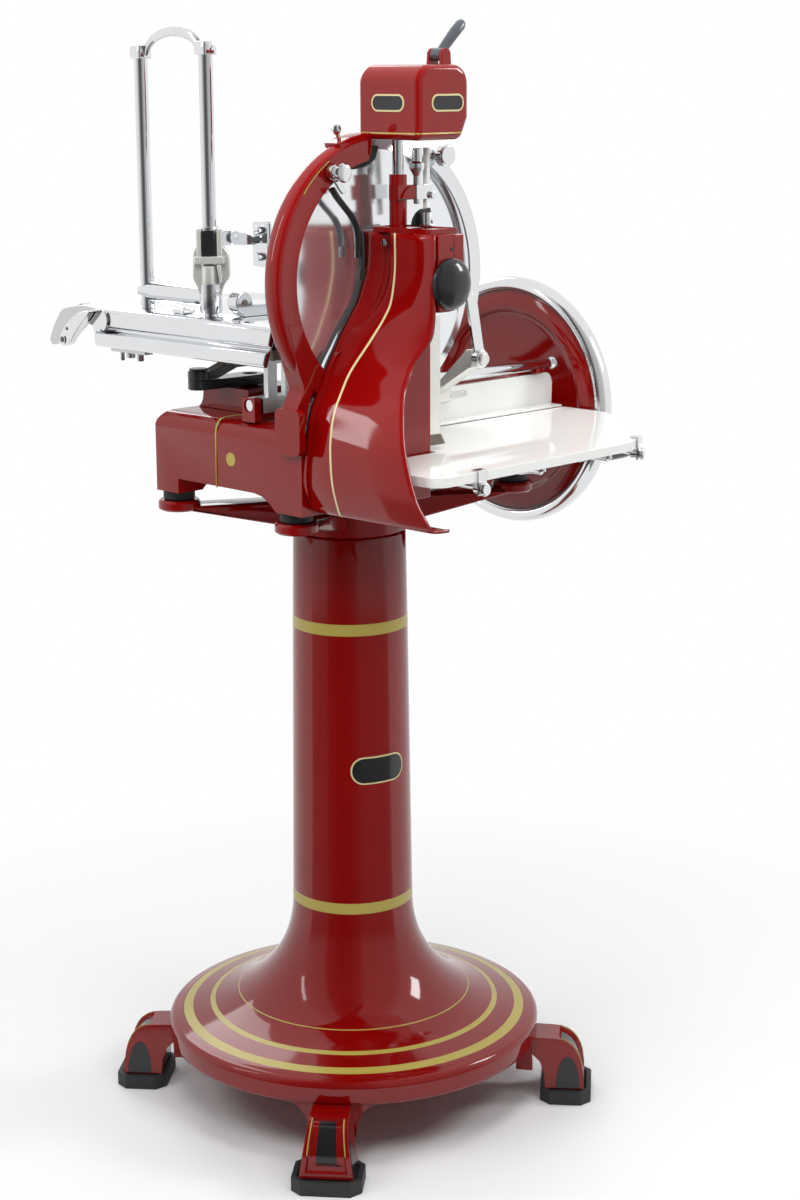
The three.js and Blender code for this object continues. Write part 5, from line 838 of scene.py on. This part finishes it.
trayOutline = [*arc(-168, -328, 22, 180, 270, 8), (176, -342.2), (183, -341.6), (190, -338.5), (246, -309),
               (253, -304.5), (257, -301), (361, -152), (364, -145), (364, -72), (361, -69), (-43, -69), (-46, -72),
               (-46, -208), (-49, -211), (-187, -211), (-190, -214)]
trayBm = drawn(trayOutline, "z", 943, 955)
stepped(trayBm, [f for f in trayBm.faces if f.normal.z < -0.9], (4, 0), (0.5, -8.8))
addPiece("servingTray", trayBm, "creamEnamel", "tray", soft=(1.6, 3))
rods = [peg([(4, -112), (5, -111), (5, 216), (4, 217)], "x", (-262, 936.5), 24)]
for x, near, far in ((-112, -340, -262), (20, -330, -155.4), (150, -330, -155.4), (216, -318, -262)):
    rods.append(peg([(4, near), (5, near + 1), (5, far)], "y", (x, 936.5), 24))
for x in (20, 150):
    rods.append(peg([(9, -158.2), (10, -157.4), (10, -155.4)], "y", (x, 931.5), 24))
    rods.append(peg([(5, 936), (5, 951.6)], "z", (x, -330), 24))
addPiece("trayFrame", gathered(*rods), "polishedChrome", "tray_frame", 40)
bearer = drawn([(-6, 942.6), (-6, 935), (4, 931), (44, 929), (52, 929), (52, 942.6)], "y", -309, -296)
addDetail("trayBearer", bearer, "creamEnamel", "tray_frame", 35, (1, 2))
for i in (1, 2):
    dressed(f"tray_clip_{i}", 0.5)
    dressed(f"thumb_screw_{i}", 1.2, 3, corner=24)
dressed("rear_rail", 0.8)
print("rails, board and tray are made")

table = {"minY": -121, "maxY": 229, "flare": 16, "flareFrom": 1115, "flareHeight": 44}
tableOutline = [(-238, 1124), (-243.5, 1122.4), (-246, 1118.5), (-246, 1100), (-241.5, 1098), (-240.6, 1095.5),
                (-241.5, 1093), (-247, 1090), (-247.5, 1086), (-247, 1075), (-244.5, 1072), (-241, 1071),
                (-238.5, 1071), (-238.5, 1115), (25, 1115), (25, 1100), (30, 1100), (30, 1121), (28.5, 1123.4),
                (26, 1124)]
tableBm = drawn(tableOutline, "y", table["minY"], table["maxY"])
for vert in tableBm.verts:
    at = onDrawing(vert.co)
    if at.y < -100 and at.x < -200 and at.z < table["flareFrom"]:
        vert.co.y += table["flare"] * mm * min(1, (table["flareFrom"] - at.z) / table["flareHeight"])
runners = [block(x - 13, x + 13, -108, 214, 1097.4, 1120) for x in (-170, -4)]
bridge = block(-249, -209, 213, 229, 1092, 1121)
ears = [drawn([*arc(213, 1108, 15, 90, 250, 8), *arc(249, 1110, 8, -110, 90, 8)], "x", *span)
        for span in ((-249.3, -244.3), (-213.7, -208.7))]
addPiece("meatTable", gathered(tableBm, *runners, bridge, *ears), "polishedChrome", "meat_table", 28, soft=(0.9, 2))

armOutline = smooth([(290, 1072), (285, 1085), (276, 1096), (259, 1109), (241, 1117), (223, 1119), (228, 1112),
                     (242, 1100), (256, 1086), (266, 1074), (278, 1069), (290, 1072)], 3)[:-1]
wingOutline = smooth([(326, 1074), (317, 1091), (305, 1107), (294, 1117), (266, 1123), (248, 1124.4), (232, 1124),
                      (224, 1121), (238, 1113), (263, 1101), (288, 1083), (302, 1071), (320, 1067),
                      (326, 1074)], 3)[:-1]
endWing = drawn(wingOutline, "x", -249, -224)
addPiece("tableEndLever", endWing, "satinSteel", "table_end_lever", 45, soft=(5, 5))
addDetail("endLeverArm", drawn(armOutline, "x", -261, -251), "polishedChrome", "table_end_lever", 45, (4, 5))
endBosses = [peg([(5.6, -262.6), (6.6, -261.6), (6.6, -250)], "x", (280, 1078), 36),
             peg([(0, -241), (4, -240), (7, -237), (8.6, -233), (9, -228), (9, -222)], "x", (276, 1117.5), 36)]
addDetail("endLeverBosses", gathered(*endBosses), "polishedChrome", "table_end_lever", 40)
# Thin dark discs on the bosses stand for the lever's screw holes: painted shade in the holes
endEyeShades = [peg([(3.4, -263.4), (4, -262.8), (4, -262)], "x", (280, 1078), 28),
           peg([(1.8, -261.8), (2.4, -261.2), (2.4, -259)], "x", (271, 1093), 24)]
addDetail("endLeverEyeShades", gathered(*endEyeShades), "oiledGear", "table_end_lever", 40)

# Each post's y and the height of its square collar; the slider rides on the front one
posts = {"x": -212, "radius": 9, "low": 1124.3, "top": 1450, "collars": ((30, 1465), (158, 1461))}
postShapes = []
for y, high in posts["collars"]:
    postShapes.append(peg([(posts["radius"], posts["low"]), (posts["radius"], posts["top"])], "z", (posts["x"], y), 48))
    collar = block(-222.5, -201.5, y - 10.5, y + 10.5, high - 17, high)
    rounded(collar, collar.edges[:], 2.5)
    postShapes.append(collar)
archSide = smooth([(40, 1452), (44, 1461), (56, 1470.5), (74, 1476), (94, 1477.6), (114, 1475.4), (131, 1469),
                   (144, 1459), (149, 1450)], 4)
postShapes.append(bent([(posts["x"], y, z) for y, z in archSide], (3.6, 6.6), 20))
addPiece("clampPosts", gathered(*postShapes), "polishedChrome", "clamp_posts", 40)

fork = {"turn": -45.2, "at": (-212, 30)}
sleeve = turned([(9.6, 1127), (13.5, 1127), (14.5, 1128.5), (14.5, 1160), (13.6, 1166), (13.6, 1232), (12.6, 1237),
                 (9.6, 1237)], "z", fork["at"], 48)
crossBar = bent([(posts["x"], y, 1147.5) for y in (36, 60, 140, 166, 169.5)],
                [(10.6, 11.8), (10.4, 11.6), (10.4, 11.6), (10.4, 11.6), (8, 9)], 28)
eye = drawn([(-206, 1213), (-190, 1213), *arc(-186, 1222, 9, -100, 100, 10), (-206, 1231)], "y", 14, 22)
forkBody = drawn([(-229, 1235), (-229, 1212), (-233, 1204), (-234, 1172), (-229, 1161), (-226, 1152), (-198, 1152),
                  (-195, 1162), (-188.5, 1170), (-187, 1176), (-187, 1196), (-189, 1205), (-196.5, 1213),
                  (-196.5, 1235)], "y", 22, 38)
cheekBars = [block(-227.5, -221.6, 13, 30, 1194, 1235), block(-202, -195.4, 13, 30, 1194, 1235),
             block(-231, -193, 11.5, 18, 1190.5, 1200)]
wedge = drawn([(-203, 1190), (-197.5, 1190), (-196, 1168), (-199, 1164)], "y", 12.5, 22)
noseRound = peg([(8.5, 1164), (9.5, 1167), (9.5, 1188)], "z", (-213, 22), 40)
forkParts = swung(gathered(forkBody, *cheekBars, wedge, noseRound), "Z", fork["turn"], (*fork["at"], 0))
addPiece("clampSlider", gathered(sleeve, crossBar, eye), "polishedChrome", "clamp_slider", 40, soft=(0.9, 2))
addDetail("clampFork", forkParts, "paleMetal", "clamp_slider", 35, (1.3, 3))
latch = gathered(block(-220.8, -205, 11.6, 16, 1200.8, 1232.5), block(-220.4, -205, 13.4, 17.5, 1188.6, 1190))
swung(latch, "Z", fork["turn"], (*fork["at"], 0))
addPiece("clampLatch", latch, "blackPlastic", "clamp_latch", soft=(0.8, 2))

pressSlab = (-10, 18, 1183, 1241)
cheeks = [drawn([*arc(-186, 1222, 9, 80, 260, 10), *arc(-163, 1218, 6, -100, 80, 8)], "y", *span)
          for span in ((22.3, 26.3), (9.7, 13.7))]
rodPart = bent([(-166, 18, 1218), (-156, 18, 1217), (-149, 18, 1216)], (6, 6), 20)
pressPlates = [drawn(slabOutline(*pressSlab, 4), "x", *span) for span in ((-150, -146.4), (-145.2, -142))]
pressLine = drawn(slabOutline(-9.6, 17.6, 1183.4, 1240.6, 4), "x", -146.4, -145.2)
addDetail("gripperRubber", pressLine, "mattRubber", "gripper")
lugs = [shifted(peg([(5, -16), (5.6, -15), (5.6, -8)], "x", (4, z), 24), -140.5, 0, 0) for z in (1196, 1230)]
pin = peg([(3, 9.4), (3.5, 10), (3.5, 26), (3, 26.6)], "y", (-186, 1222), 24)
gripperParts = gathered(*cheeks, rodPart, gathered(*pressPlates), *lugs, pin)
addPiece("gripperArm", gripperParts, "polishedChrome", "gripper", 35, soft=(0.8, 2))
jawBody = drawn([(-199, 1124.4), (-30, 1124.4), (-30, 1136), (-33, 1139.3), (-178, 1139.3),
                 *arc(-199, 1142.3, 14, -10, 230, 16)], "y", -20, -2)
addPiece("fixedJaw", jawBody, "polishedChrome", "fixed_jaw", 35, soft=(1.4, 3))
eyeScrew = peg([(3, -21.4), (4.6, -20.6), (4.6, -19.6)], "y", (-199, 1142.3), 24)
addDetail("jawEyeScrew", eyeScrew, "oiledGear", "fixed_jaw")
leverPath = smooth([(-180, 176, 1131), (-196, 130, 1130), (-206, 96, 1129), (-214, 82, 1128)], 4)
tableLever = gathered(bent(leverPath, (3.4, 2.2), 14), block(-228, -208, 66, 90, 1124.4, 1129.5))
addDetail("tableLever", tableLever, "polishedChrome", "meat_table", 40, (0.7, 2))
catches = [block(-226, -212, 150, 222, 1064, 1070.4), peg([(2.6, 1052), (3, 1053), (3, 1064)], "z", (-219, 206), 20),
           peg([(6, 1057), (6, 1063.8)], "z", (-219, 188), 24),
           peg([(4, 1054), (4.6, 1055), (4.6, 1063.8)], "z", (-219, 168), 24)]
addDetail("tableCatches", gathered(*catches), "satinSteel", "meat_table", 35, (0.6, 2))
print("table and clamp are made")

dressed("crank", 1.6, 3, corner=24)
dressed("connecting_rod", 1.6, 3, corner=24)
dressed("carriage_frame", 1, look="oiledGear")
for node, width in {"carriage_bearing": 1, "rear_roller": 0.8, "feed_screw": 0.4, "drive_chain": 0.5,
                    "crankshaft": 0.4, "counter_shaft": 0.4, "knife_shaft": 0.4}.items():
    dressed(node, width, 1)
print("carriage and drive are made")
